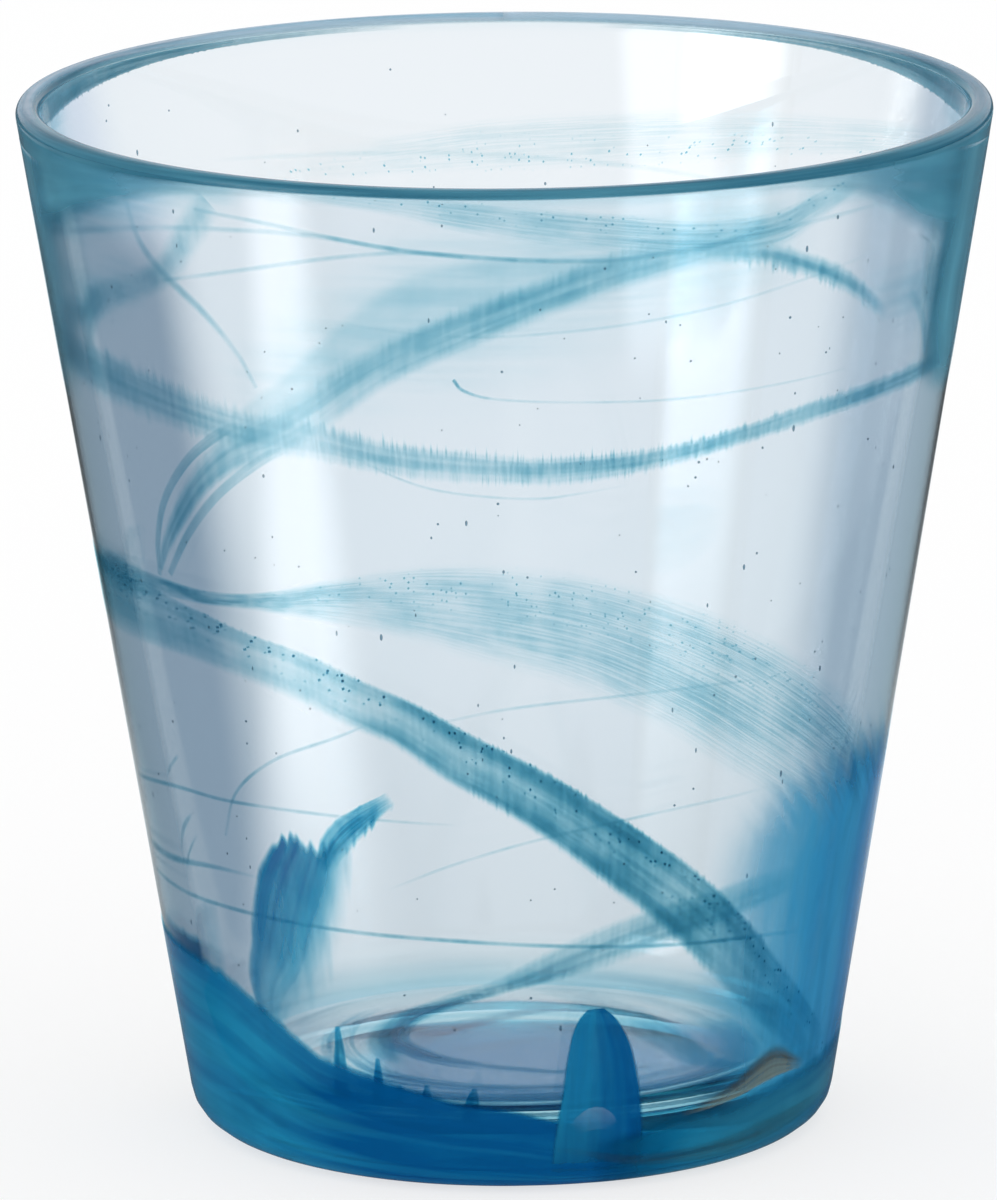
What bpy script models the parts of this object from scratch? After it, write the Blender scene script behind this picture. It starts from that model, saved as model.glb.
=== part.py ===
"""Tapered drinking glass of clear glass with coloured glass trails laid into its wall and floor.

One turned clear body holds a shallow seat for every trail. Each trail is a separate solid of coloured
glass that lies flush in its seat. Metres, +Z up, origin on the table under the middle of the foot.
Turns are degrees round the axis: 0 faces -Y, the front, and +90 faces +X.
"""

import math

import bmesh
import bpy
from mathutils import Vector

MM = 0.001

# Clear body
HEIGHT = 100.0 * MM
RIM_RADIUS = 46.9 * MM  # outside, where the line of the wall meets the top
FOOT_RADIUS = 30.6 * MM  # outside, where the line of the wall meets the table
RIM_WALL = 2.3 * MM  # level thickness of the wall at the rim
FOOT_WALL = 3.2 * MM  # level thickness of the wall at the table
FLOOR = 6.0 * MM
LIP_FILLET = 0.9 * MM
HEEL_FILLET = 3.6 * MM
WELL_FILLET = 5.5 * MM  # inside, between the floor and the wall
RECESS_RADIUS = 20.0 * MM  # hollow under the foot, which leaves a ring to stand on
RECESS_DEPTH = 0.8 * MM
RECESS_SLOPE = 1.2 * MM

# Coloured trails
TRAIL_GAUGE = 1.0 * MM  # a trail's width where its points say 1
TRAIL_THICKNESS = 0.5 * MM
SEAT_GAP = 0.3 * MM  # left round and under a trail in its seat
SEAT_OVERSHOOT = 0.8 * MM  # how far a seat's cutter stands out of the glass
TRAIL_STEP = 4.0 * MM  # length of one facet along a trail
TRAIL_CELL = 2.6 * MM  # widest facet across a trail
TRAIL_LEAST_STEPS = 6

# Facets
BODY_STEPS = 96
FILLET_STEPS = 5
LIP_STEPS = 4

CLEAR = ("clear_glass", (0.93, 0.96, 0.98, 1.0))
TEAL = ("teal_trail_glass", (0.20, 0.50, 0.60, 1.0))
BLUE = ("blue_trail_glass", (0.03, 0.22, 0.48, 1.0))

LEAN = math.atan2(RIM_RADIUS - FOOT_RADIUS, HEIGHT)  # of the outside wall, from upright
HEEL_CENTRE = FOOT_RADIUS - HEEL_FILLET * math.tan((math.pi / 2 - LEAN) / 2)  # radius of the fillet's middle
HEEL_TOP = HEEL_FILLET * (1 - math.sin(LEAN))  # where the fillet runs into the wall


def outer_radius(z):
    return FOOT_RADIUS + (RIM_RADIUS - FOOT_RADIUS) * z / HEIGHT


def inner_radius(z):
    return outer_radius(z) - FOOT_WALL - (RIM_WALL - FOOT_WALL) * z / HEIGHT


INNER_LEAN = math.atan2(inner_radius(HEIGHT) - inner_radius(0.0), HEIGHT)
FLOOR_EDGE = inner_radius(FLOOR) - WELL_FILLET * math.tan((math.pi / 2 - INNER_LEAN) / 2)  # radius of its flat


def polar(radius, turn, z):
    angle = math.radians(turn)
    return Vector((radius * math.sin(angle), -radius * math.cos(angle), z))


# Surfaces that carry trails: each turns (turn, share) into a place and the way out of the glass there


def on_outer_wall(turn, share):
    """share is the height over HEIGHT, and below the wall goes on as far round the heel."""
    z = share * HEIGHT
    if z >= HEEL_TOP:
        return polar(outer_radius(z), turn, z), polar(math.cos(LEAN), turn, -math.sin(LEAN))
    angle = LEAN + (HEEL_TOP - z) / math.cos(LEAN) / HEEL_FILLET
    out = polar(math.cos(angle), turn, -math.sin(angle))
    return polar(HEEL_CENTRE, turn, HEEL_FILLET) + out * HEEL_FILLET, out


def on_inner_wall(turn, share):
    """share is the height over HEIGHT."""
    z = share * HEIGHT
    return polar(inner_radius(z), turn, z), polar(-math.cos(INNER_LEAN), turn, math.sin(INNER_LEAN))


def on_floor(turn, share):
    """share is the radius over that of the flat of the floor."""
    return polar(share * FLOOR_EDGE, turn, FLOOR), Vector((0.0, 0.0, 1.0))


SHARE_LENGTH = {
    on_outer_wall: HEIGHT / math.cos(LEAN),
    on_inner_wall: HEIGHT / math.cos(INNER_LEAN),
    on_floor: FLOOR_EDGE,
}

# Trails: name, surface, glass, and (turn, share, width in TRAIL_GAUGE) along the middle line

TRAILS = [
    ("upper_loop_trail", on_outer_wall, TEAL, [
        (-55, 0.608, 1.0), (-53, 0.650, 2.8), (-46, 0.695, 3.8), (-36, 0.745, 3.8), (-24, 0.800, 3.4),
        (-12, 0.858, 3.2), (2, 0.900, 3.0), (16, 0.928, 2.6), (30, 0.943, 1.8), (40, 0.952, 0.8),
    ]),
    ("right_shoulder_trail", on_outer_wall, TEAL, [
        (36, 0.916, 0.8), (43, 0.900, 1.6), (50, 0.872, 2.0), (55, 0.842, 1.8), (58, 0.812, 0.8),
    ]),
    ("long_diagonal_trail", on_outer_wall, TEAL, [
        (-104, 0.575, 1.0), (-82, 0.550, 6.0), (-66, 0.540, 5.4), (-53, 0.536, 4.6), (-30, 0.510, 4.2),
        (-14, 0.478, 4.2), (0, 0.422, 4.3), (10, 0.372, 4.5), (19, 0.331, 4.8), (27, 0.290, 4.6),
        (35, 0.243, 3.8), (41, 0.205, 1.4),
    ]),
    ("brush_wisp_trail", on_outer_wall, TEAL, [
        (-51, 0.584, 0.8), (-41, 0.588, 1.2), (-29, 0.594, 3.2), (-15, 0.594, 5.4), (0, 0.584, 6.8),
        (12, 0.560, 7.4), (24, 0.526, 7.4), (36, 0.484, 6.6), (45, 0.448, 2.6),
    ]),
    ("right_pool", on_outer_wall, BLUE, [
        (82, 0.022, 9.0), (77, 0.060, 13.0), (70, 0.120, 18.0), (66, 0.200, 22.0), (66, 0.280, 22.0),
        (68, 0.345, 17.0), (71, 0.390, 7.0),
    ]),
    ("left_tuft", on_outer_wall, BLUE, [
        (-48, 0.190, 1.2), (-46, 0.230, 4.6), (-42, 0.270, 6.8), (-38, 0.315, 7.0), (-35, 0.347, 4.2),
    ]),
    ("tuft_curl", on_outer_wall, BLUE, [
        (-27.0, 0.318, 0.8), (-26.5, 0.344, 2.4), (-23.5, 0.370, 2.4), (-19.0, 0.400, 0.8),
    ]),
    ("base_sweep", on_outer_wall, BLUE, [
        (-132, 0.150, 1.4), (-112, 0.128, 8.0), (-92, 0.104, 15.0), (-76, 0.094, 17.0), (-60, 0.082, 15.6),
        (-46, 0.070, 12.6), (-32, 0.056, 10.0), (-18, 0.048, 8.4), (-7, 0.044, 7.0), (3, 0.038, 4.0),
    ]),
    ("base_thumb", on_outer_wall, BLUE, [
        (15.2, 0.006, 6.4), (15.0, 0.050, 7.6), (14.8, 0.090, 7.4), (14.3, 0.130, 6.2), (13.8, 0.160, 4.2),
        (13.4, 0.180, 1.8),
    ]),
    ("heel_trail", on_outer_wall, BLUE, [(27, 0.029, 4.0), (38, 0.030, 5.0), (48, 0.028, 4.2), (57, 0.022, 2.0)]),
    ("upper_ring_trail", on_inner_wall, TEAL, [
        (-106, 0.800, 0.8), (-79, 0.776, 3.2), (-53, 0.772, 3.4), (-35, 0.772, 3.2), (-20, 0.762, 2.8),
        (-5, 0.745, 2.4), (10, 0.741, 2.0), (25, 0.747, 1.8), (45, 0.761, 1.5), (78, 0.767, 1.6),
        (102, 0.780, 0.8),
    ]),
    ("left_thread_upper", on_inner_wall, TEAL, [(-84, 0.382, 0.7), (-45, 0.384, 0.8), (-10, 0.383, 0.7)]),
    ("left_thread_lower", on_inner_wall, TEAL, [(-86, 0.312, 0.7), (-62, 0.308, 1.2), (-42, 0.308, 0.7)]),
    ("belt_thread", on_inner_wall, TEAL, [
        (-96, 0.268, 0.7), (-60, 0.275, 0.8), (-15, 0.266, 0.8), (25, 0.250, 0.8), (68, 0.221, 0.7),
    ]),
    ("back_sweep_trail", on_inner_wall, TEAL, [
        (174, 0.136, 1.0), (162, 0.146, 2.4), (148, 0.166, 2.6), (134, 0.186, 2.4), (120, 0.204, 2.0),
        (104, 0.220, 0.8),
    ]),
    ("floor_swirl", on_floor, BLUE, [
        (-140, 0.86, 1.2), (-110, 0.76, 3.0), (-75, 0.68, 4.2), (-35, 0.66, 4.8), (5, 0.68, 4.6),
        (45, 0.72, 3.8), (80, 0.80, 1.2),
    ]),
]


# A trail is laid out on its surface unrolled flat, so that its width is true


def along_trail(points, position):
    """Smooth (turn, share, width) at a position counted in spans from the first point."""
    span = min(int(position), len(points) - 2)
    t = position - span
    p1, p2 = Vector(points[span]), Vector(points[span + 1])
    p0 = Vector(points[span - 1]) if span > 0 else 2 * p1 - p2
    p3 = Vector(points[span + 2]) if span + 2 < len(points) else 2 * p2 - p1
    bend = (2 * p0 - 5 * p1 + 4 * p2 - p3) * t**2 + (3 * p1 - p0 - 3 * p2 + p3) * t**3
    return p1 + ((p2 - p0) * t + bend) / 2


def trail_place(surface, points, position, side, margin):
    """Place and way out at a side of a trail, from -1 to 1 across it, its edges and ends let out by a margin."""
    last = len(points) - 1
    reach = 0.01
    turn, share, width = along_trail(points, position)
    ahead = along_trail(points, min(position + reach, last)) - along_trail(points, max(position - reach, 0.0))
    place, _ = surface(turn, share)
    per_degree = math.radians(1) * math.hypot(place.x, place.y)
    per_share = SHARE_LENGTH[surface]
    along = Vector((ahead[0] * per_degree, ahead[1] * per_share)).normalized()
    step = along.orthogonal() * side * (width * TRAIL_GAUGE / 2 + margin)
    step += along * margin * ((position == last) - (position == 0.0))
    return surface(turn + step.x / per_degree, share + step.y / per_share)


def trail_length(surface, points):
    places = [surface(turn, share)[0] for turn, share, _ in points]
    return sum((b - a).length for a, b in zip(places, places[1:]))


# Building blocks


def material(glass):
    name, colour = glass
    made = bpy.data.materials.get(name)
    if made is None:
        made = bpy.data.materials.new(name)
        made.use_nodes = True
        shader = made.node_tree.nodes["Principled BSDF"]
        shader.inputs["Base Color"].default_value = colour
        shader.inputs["Roughness"].default_value = 0.03
        shader.inputs["Metallic"].default_value = 0.0
        shader.inputs["IOR"].default_value = 1.5
        shader.inputs["Transmission Weight"].default_value = 1.0
    return made


def new_collection(name):
    made = bpy.data.collections.new(name)
    bpy.context.scene.collection.children.link(made)
    return made


def new_object(name, bm, collection):
    mesh = bpy.data.meshes.new(name)
    bm.to_mesh(mesh)
    bm.free()
    made = bpy.data.objects.new(name, mesh)
    collection.objects.link(made)
    return made


def arc(centre, radius, start, end, steps):
    """Points (radius, z) of an arc between two angles in radians."""
    angles = [start + (end - start) * i / steps for i in range(steps + 1)]
    return [(centre[0] + radius * math.cos(a), centre[1] + radius * math.sin(a)) for a in angles]


def body_profile():
    """Half section of the clear body: up the inside from the floor, over the lip and down the outside."""
    well = arc((FLOOR_EDGE, FLOOR + WELL_FILLET), WELL_FILLET, -math.pi / 2, -INNER_LEAN, FILLET_STEPS)
    lip_z = HEIGHT - LIP_FILLET
    inner_lip_r = inner_radius(HEIGHT) + LIP_FILLET * math.tan((math.pi / 2 - INNER_LEAN) / 2)
    inner_lip = arc((inner_lip_r, lip_z), LIP_FILLET, math.pi - INNER_LEAN, math.pi / 2, LIP_STEPS)
    outer_lip_r = RIM_RADIUS - LIP_FILLET * math.tan((math.pi / 2 + LEAN) / 2)
    outer_lip = arc((outer_lip_r, lip_z), LIP_FILLET, math.pi / 2, -LEAN, LIP_STEPS)
    heel = arc((HEEL_CENTRE, HEEL_FILLET), HEEL_FILLET, -LEAN, -math.pi / 2, FILLET_STEPS)
    recess = [(RECESS_RADIUS, 0.0), (RECESS_RADIUS - RECESS_SLOPE, RECESS_DEPTH)]
    return [(0.0, FLOOR), *well, *inner_lip, *outer_lip, *heel, *recess, (0.0, RECESS_DEPTH)]


def turned_body(collection):
    bm = bmesh.new()
    verts = [bm.verts.new((radius, 0.0, z)) for radius, z in body_profile()]
    for a, b in zip(verts, verts[1:]):
        bm.edges.new((a, b))
    body = new_object("tumbler_body", bm, collection)
    screw = body.modifiers.new("turn", "SCREW")
    screw.axis = "Z"
    screw.steps = screw.render_steps = BODY_STEPS
    screw.use_smooth_shade = True
    screw.use_merge_vertices = True
    screw.merge_threshold = 1e-5
    body.data.materials.append(material(CLEAR))
    return body


def ribbon(name, surface, points, margin, lift, thickness, collection):
    """A strip along a trail, lifted out of the glass and thickened back into it."""
    widest = max(width for _, _, width in points) * TRAIL_GAUGE
    along = max(TRAIL_LEAST_STEPS, round(trail_length(surface, points) / TRAIL_STEP))
    across = math.ceil(widest / TRAIL_CELL)
    bm = bmesh.new()
    bmesh.ops.create_grid(bm, x_segments=along, y_segments=across, size=0.5)
    for vert in bm.verts:
        position = min(max(vert.co.x + 0.5, 0.0), 1.0) * (len(points) - 1)
        place, out = trail_place(surface, points, position, vert.co.y * 2, margin)
        vert.co = place + out * lift
    bm.normal_update()
    facing = sum(face.normal.dot(surface_out(surface, face)) for face in bm.faces)
    if facing < 0:
        bmesh.ops.reverse_faces(bm, faces=bm.faces)
    made = new_object(name, bm, collection)
    solidify = made.modifiers.new("thickness", "SOLIDIFY")
    solidify.thickness = thickness
    solidify.offset = -1.0
    solidify.use_even_offset = True
    return made


def surface_out(surface, face):
    """Way out of the glass at a face of a strip, near enough to tell its front from its back."""
    middle = face.calc_center_median()
    turn = math.degrees(math.atan2(middle.x, -middle.y))
    return surface(turn, middle.z / HEIGHT)[1]


def trail(name, surface, glass, points, collection):
    made = ribbon(name, surface, points, 0.0, 0.0, TRAIL_THICKNESS, collection)
    made.data.materials.append(material(glass))


def seat_cutter(name, surface, points, collection):
    depth = SEAT_OVERSHOOT + TRAIL_THICKNESS + SEAT_GAP
    made = ribbon(f"{name}_seat", surface, points, SEAT_GAP, SEAT_OVERSHOOT, depth, collection)
    made.hide_render = True
    made.display_type = "WIRE"


def main():
    for old in list(bpy.data.objects):
        bpy.data.objects.remove(old)
    parts = new_collection("streaked_tumbler")
    cutters = new_collection("trail_seats")
    body = turned_body(parts)
    for name, surface, glass, points in TRAILS:
        trail(name, surface, glass, points, parts)
        seat_cutter(name, surface, points, cutters)
    seats = body.modifiers.new("trail_seats", "BOOLEAN")
    seats.operation = "DIFFERENCE"
    seats.operand_type = "COLLECTION"
    seats.collection = cutters
    seats.solver = "EXACT"


main()
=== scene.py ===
"""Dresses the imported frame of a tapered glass: clear body, coloured glass trails, seeds and a studio."""

import math
import random

import bmesh
import bpy
import numpy as np
from bpy.props import FloatProperty, FloatVectorProperty, IntProperty, PointerProperty
from bpy.types import NodeSocket, Operator, Panel, PropertyGroup
from mathutils import Matrix, Vector


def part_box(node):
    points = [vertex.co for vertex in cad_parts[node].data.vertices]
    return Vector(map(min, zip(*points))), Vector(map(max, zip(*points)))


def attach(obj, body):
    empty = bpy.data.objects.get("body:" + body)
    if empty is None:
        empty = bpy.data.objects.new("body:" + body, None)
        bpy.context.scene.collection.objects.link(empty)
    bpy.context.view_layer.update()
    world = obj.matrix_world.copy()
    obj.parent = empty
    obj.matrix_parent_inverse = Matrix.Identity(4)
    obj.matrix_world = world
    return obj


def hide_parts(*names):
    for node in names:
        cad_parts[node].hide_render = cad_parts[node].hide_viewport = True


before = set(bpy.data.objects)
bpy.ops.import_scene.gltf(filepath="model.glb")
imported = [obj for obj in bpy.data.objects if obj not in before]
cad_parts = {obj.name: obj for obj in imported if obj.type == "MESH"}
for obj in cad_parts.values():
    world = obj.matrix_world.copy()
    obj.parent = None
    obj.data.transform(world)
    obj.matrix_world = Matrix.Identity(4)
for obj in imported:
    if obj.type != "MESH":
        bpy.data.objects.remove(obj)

bl_info = {
    "name": "Streaked Tumbler",
    "version": (1, 0, 0),
    "blender": (4, 5, 0),
    "location": "View3D > Sidebar > Tumbler",
    "description": "Builds a clear tapered tumbler with coloured glass trails in its wall",
    "category": "Object",
}

MM = 0.001
UP = Vector((0.0, 0.0, 1.0))
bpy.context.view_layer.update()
BODY_LOW, BODY_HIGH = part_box("tumbler_body")
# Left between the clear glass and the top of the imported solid, for the strips on the lip
LIP_COVER = 0.05 * MM


# Sizes and colours


def length(name, description, default):
    return FloatProperty(name=name, description=description, default=default, unit="LENGTH")


def colour(name, description, default):
    return FloatVectorProperty(
        name=name, description=description, default=default, size=3, subtype="COLOR", min=0.0, max=1.0)


class TumblerSizes(PropertyGroup):
    """Sizes of the clear body."""

    height: length("Height", "From the table to the top of the lip", BODY_HIGH[2] - BODY_LOW[2] - LIP_COVER)
    rim_radius: length("Rim radius", "Where the line of the wall meets the top", 46.84 * MM)
    foot_radius: length("Foot radius", "Where the line of the wall meets the table", 30.6 * MM)
    rim_wall: length("Wall at the rim", "Level thickness", 2.3 * MM)
    foot_wall: length("Wall at the foot", "Level thickness", 3.2 * MM)
    floor: length("Floor", "Height of the inside floor", 6.0 * MM)
    lip_fillet: length("Lip rounding", "Radius of both edges", 0.9 * MM)
    heel_fillet: length("Heel rounding", "Radius at the foot", 3.6 * MM)
    well_fillet: length("Well rounding", "Radius inside", 5.5 * MM)
    recess_radius: length("Foot hollow", "Radius of the hollow under the foot", 20.0 * MM)
    recess_depth: length("Hollow depth", "Depth of the hollow under the foot", 0.8 * MM)
    recess_slope: length("Hollow slope", "Width of the hollow's edge", 1.2 * MM)
    turn_steps: IntProperty(name="Steps round", description="Facets round the body", default=256, min=24)


class TumblerColours(PropertyGroup):
    """Colours of the glasses."""

    clear: colour("Clear glass", "Faint tint of the clear glass", (0.95, 0.955, 0.985))
    body_tint: colour(
        "Depth tint", "Tint that grows with the length of glass looked through", (0.20, 0.80, 0.86))
    tint_density: FloatProperty(
        name="Depth tint density", description="Strength of the depth tint", default=28.0)
    teal: colour("Teal trails", "What a full layer of teal glass lets by", (0.13, 0.41, 0.53))
    teal_pale: colour("Pale teal", "Thin strands of dense teal glass", (0.085, 0.28, 0.37))
    teal_deep: colour("Deep teal", "Thick strands of dense teal glass", (0.025, 0.13, 0.20))
    blue: colour("Blue trails", "What a full layer of blue glass lets by", (0.008, 0.22, 0.43))
    blue_pale: colour("Pale blue", "Thin strands of dense blue glass", (0.012, 0.205, 0.36))
    blue_deep: colour("Deep blue", "Thick strands of dense blue glass", (0.0006, 0.072, 0.215))
    azure: colour("Azure pools", "What a full layer of azure glass lets by", (0.05, 0.32, 0.54))
    azure_pale: colour("Pale azure", "Thin strands of dense azure glass", (0.04, 0.25, 0.42))
    azure_deep: colour("Deep azure", "Thick strands of dense azure glass", (0.004, 0.15, 0.36))
    lilac: colour("Floor swirl", "What a full layer of the pale floor swirl lets by", (0.11, 0.43, 0.62))
    lilac_pale: colour("Pale floor swirl", "Thin strands of the floor swirl", (0.14, 0.36, 0.48))
    lilac_deep: colour("Deep floor swirl", "Thick strands of the floor swirl", (0.08, 0.21, 0.34))
    # Painted sheen: pale colours that stand in for light reflected on the lip, also used for a painted
    # highlight on the blue tongue
    frost: colour("Lip shine", "What a full layer of the pale lip lets by", (0.85, 0.91, 0.96))
    frost_pale: colour("Pale lip shine", "Brightest part of the lip", (0.58, 0.62, 0.69))
    frost_deep: colour("Deep lip shine", "Bluest part of the pale lip", (0.15, 0.38, 0.52))
    sea: colour("Heel", "What a full layer of the sea-green heel lets by", (0.02, 0.26, 0.40))
    sea_pale: colour("Pale heel", "Thin strands of the sea-green heel", (0.022, 0.175, 0.265))
    sea_deep: colour("Deep heel", "Thick strands of the sea-green heel", (0.002, 0.10, 0.21))
    olive: colour("Floor smear", "What a full layer of the olive smear lets by", (0.40, 0.42, 0.38))
    olive_pale: colour("Pale floor smear", "Thin strands of the olive smear", (0.17, 0.21, 0.18))
    olive_deep: colour("Deep floor smear", "Thick strands of the olive smear", (0.07, 0.065, 0.05))
    # Painted shade of the seed bubbles: a grey in place of the light each bubble bends away
    seed: colour("Seeds", "What a seed bubble lets by", (0.22, 0.33, 0.40))


class TumblerStudio(PropertyGroup):
    """Camera and light."""

    elevation: FloatProperty(
        name="Elevation", description="Camera above level", default=math.radians(13.107), subtype="ANGLE")
    roll: FloatProperty(
        name="Roll", description="Camera about its own axis", default=-0.00774, subtype="ANGLE")
    distance: length("Distance", "Camera to the body", 1.1346)
    lens: FloatProperty(name="Lens", description="Focal length in mm", default=352.6, unit="CAMERA")
    aside: length("Aside", "Camera to the left", 0.92 * MM)
    above: length("Above", "Camera upwards", 0.66 * MM)
    softbox: FloatProperty(name="Softbox", description="Brightness of the softbox at the left", default=5.0)
    card: FloatProperty(name="Card", description="Brightness of the low card at the left", default=4.6)


CLASSES = [TumblerSizes, TumblerColours, TumblerStudio]


def addon_class(made):
    CLASSES.append(made)
    return made


# Surfaces of the body: each turns (turn, share) into a place and the way out of the glass there


def polar(radius, turn, z):
    angle = math.radians(turn)
    return Vector((radius * math.sin(angle), -radius * math.cos(angle), z))


class Body:
    """Turned shape of the clear body, from its sizes."""

    def __init__(self, sizes):
        self.sizes = sizes
        self.lean = math.atan2(sizes.rim_radius - sizes.foot_radius, sizes.height)
        self.inner_lean = math.atan2(self.inner_radius(sizes.height) - self.inner_radius(0.0), sizes.height)
        self.heel_centre = sizes.foot_radius - sizes.heel_fillet * math.tan((math.pi / 2 - self.lean) / 2)
        self.heel_top = sizes.heel_fillet * (1 - math.sin(self.lean))

    def outer_radius(self, z):
        s = self.sizes
        return s.foot_radius + (s.rim_radius - s.foot_radius) * z / s.height

    def inner_radius(self, z):
        s = self.sizes
        return self.outer_radius(z) - s.foot_wall - (s.rim_wall - s.foot_wall) * z / s.height

    @property
    def floor_edge(self):
        s = self.sizes
        return self.inner_radius(s.floor) - s.well_fillet * math.tan((math.pi / 2 - self.inner_lean) / 2)

    def outer(self, turn, share):
        """share is the height over the body's. Below the wall it goes on as far round the heel."""
        z = share * self.sizes.height
        if z >= self.heel_top:
            out = polar(math.cos(self.lean), turn, -math.sin(self.lean))
            return polar(self.outer_radius(z), turn, z), out
        fillet = self.sizes.heel_fillet
        angle = self.lean + (self.heel_top - z) / math.cos(self.lean) / fillet
        out = polar(math.cos(angle), turn, -math.sin(angle))
        return polar(self.heel_centre, turn, fillet) + out * fillet, out

    def inner(self, turn, share):
        """share is the height over the body's."""
        z = share * self.sizes.height
        out = polar(-math.cos(self.inner_lean), turn, math.sin(self.inner_lean))
        return polar(self.inner_radius(z), turn, z), out

    def lining(self, turn, share):
        """share is the height over the body's. Below the wall it goes on round the well and the floor."""
        z = share * self.sizes.height
        fillet = self.sizes.well_fillet
        well_top = self.sizes.floor + fillet * (1 - math.sin(self.inner_lean))
        if z >= well_top:
            return self.inner(turn, share)
        run = (well_top - z) / math.cos(self.inner_lean)
        angle = self.inner_lean + run / fillet
        if angle < math.pi / 2:
            out = polar(-math.cos(angle), turn, math.sin(angle))
            return polar(self.floor_edge, turn, self.sizes.floor + fillet) - out * fillet, out
        radius = self.floor_edge - (run - (math.pi / 2 - self.inner_lean) * fillet)
        return polar(radius, turn, self.sizes.floor), UP

    def well(self, turn, share):
        """share is the radius over that of the flat of the floor."""
        return polar(share * self.floor_edge, turn, self.sizes.floor), UP

    def lip(self, turn, share):
        """share is mm over the lip, from where the outside of the wall starts to round."""
        s = self.sizes
        fillet = s.lip_fillet
        z = s.height - fillet
        first = self.outer_radius(z) - fillet / math.cos(self.lean)
        last = self.inner_radius(z) + fillet / math.cos(self.inner_lean)
        start, run = -self.lean, share * MM
        if run < 0:
            out = polar(math.cos(start), turn, math.sin(start))
            down_wall = polar(math.sin(self.lean), turn, math.cos(self.lean)) * run
            return polar(first, turn, z) + out * fillet + down_wall, out
        angle = start + run / fillet
        if angle < math.pi / 2:
            out = polar(math.cos(angle), turn, math.sin(angle))
            return polar(first, turn, z) + out * fillet, out
        run -= (math.pi / 2 - start) * fillet
        if run < first - last:
            return polar(first - run, turn, s.height), UP
        angle = math.pi / 2 + (run - first + last) / fillet
        out = polar(math.cos(angle), turn, math.sin(angle))
        return polar(last, turn, z) + out * fillet, out

    def share_length(self, surface):
        """Length on a surface that a share of 1 stands for."""
        if surface == "lip":
            return MM
        if surface == "well":
            return self.floor_edge
        return self.sizes.height / math.cos(self.lean if surface == "outer" else self.inner_lean)


# Trails

TRAIL_STEP = 1.0 * MM
FEWEST_STEPS = 12
FEWEST_CELLS = 8  # across a trail
LARGEST_CELL = 1.2 * MM
LIP_CELLS = 24
LEAST_WIDTH = 0.1  # mm
TRAIL_LIFT = 0.04 * MM
TRAIL_DEPTH = 0.36 * MM
EDGE_DEPTH = 0.3  # of the depth, left at the edges
TABLE_GAP = 0.02 * MM
AHEAD = 0.01  # of a span, looked forward and back for a trail's heading


def along_trail(points, position):
    """Smooth (turn, share, width, amount) at a position counted in spans from the first point."""
    span = min(int(position), len(points) - 2)
    t = position - span
    p1, p2 = Vector(points[span]), Vector(points[span + 1])
    p0 = Vector(points[span - 1]) if span > 0 else 2 * p1 - p2
    p3 = Vector(points[span + 2]) if span + 2 < len(points) else 2 * p2 - p1
    bend = (2 * p0 - 5 * p1 + 4 * p2 - p3) * t**2 + (3 * p1 - p0 - 3 * p2 + p3) * t**3
    return p1 + ((p2 - p0) * t + bend) / 2


def mirrored(points):
    """The same points on the other side, in the order of their turns."""
    return [(-turn, *rest) for turn, *rest in reversed(points)]


def trail_place(body, surface, points, position, side):
    """Place and way out at a side of a trail, from -1 to 1 across it."""
    last = len(points) - 1
    on_surface = getattr(body, surface)
    turn, share, width, _ = along_trail(points, position)
    ahead, behind = min(position + AHEAD, last), max(position - AHEAD, 0.0)
    heading = along_trail(points, ahead) - along_trail(points, behind)
    place, _ = on_surface(turn, share)
    per_degree = math.radians(1) * math.hypot(place.x, place.y)
    per_share = body.share_length(surface)
    along = Vector((heading[0] * per_degree, heading[1] * per_share)).normalized()
    step = along.orthogonal() * side * max(width, LEAST_WIDTH) * MM / 2
    return on_surface(turn + step.x / per_degree, share + step.y / per_share)


def trail_length(body, surface, points):
    """Length of a trail's middle line."""
    on_surface = getattr(body, surface)
    places = [on_surface(point[0], point[1])[0] for point in points]
    return sum((b - a).length for a, b in zip(places, places[1:]))


def trail_mesh(body, surface, points, depth):
    """Thin closed strip of glass in the wall.

    Its length in mm and its side from -1 to 1 are a UV map. Its amount and its coloured face are attributes.
    """
    run = trail_length(body, surface, points)
    spans = len(points) - 1
    bm = bmesh.new()
    steps = max(FEWEST_STEPS, round(run / TRAIL_STEP))
    widest = max(point[2] for point in points) * MM
    cells = LIP_CELLS if surface == "lip" else max(FEWEST_CELLS, math.ceil(widest / LARGEST_CELL))
    bmesh.ops.create_grid(bm, x_segments=steps, y_segments=cells, size=0.5)
    bmesh.ops.solidify(bm, geom=bm.faces[:], thickness=1.0)
    front = max(v.co.z for v in bm.verts)
    layer = bm.loops.layers.uv.new("trail")
    for face in bm.faces:
        for loop in face.loops:
            loop[layer].uv = ((loop.vert.co.x + 0.5) * run / MM, loop.vert.co.y * 2)
    amount = bm.verts.layers.float.new("amount")
    coloured = bm.verts.layers.float.new("coloured")
    for vert in bm.verts:
        side = vert.co.y * 2
        behind = front - vert.co.z > 0.5
        vert[coloured] = not behind
        position = min(max(vert.co.x + 0.5, 0.0), 1.0) * spans
        vert[amount] = max(0.0, along_trail(points, position)[3])
        place, out = trail_place(body, surface, points, position, side)
        thick = TRAIL_DEPTH * (EDGE_DEPTH + (1 - EDGE_DEPTH) * math.sqrt(max(0.0, 1 - side * side)))
        vert.co = place + out * (TRAIL_LIFT - depth - thick * behind)
        vert.co.z = max(vert.co.z, TABLE_GAP)
    bmesh.ops.recalc_face_normals(bm, faces=bm.faces)
    return bm


# Objects


def add_object(name, bm, material):
    mesh = bpy.data.meshes.new(name)
    bm.to_mesh(mesh)
    bm.free()
    mesh.materials.append(material)
    made = bpy.data.objects.new(name, mesh)
    bpy.context.scene.collection.objects.link(made)
    return made


def add_piece(name, bm, material, nodes):
    """A finished piece at the origin, riding on the frame in place of its nodes."""
    piece = add_object(name, bm, material)
    piece.data.shade_smooth()
    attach(piece, "root")
    if nodes:
        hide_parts(*nodes)
    return piece


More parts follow.
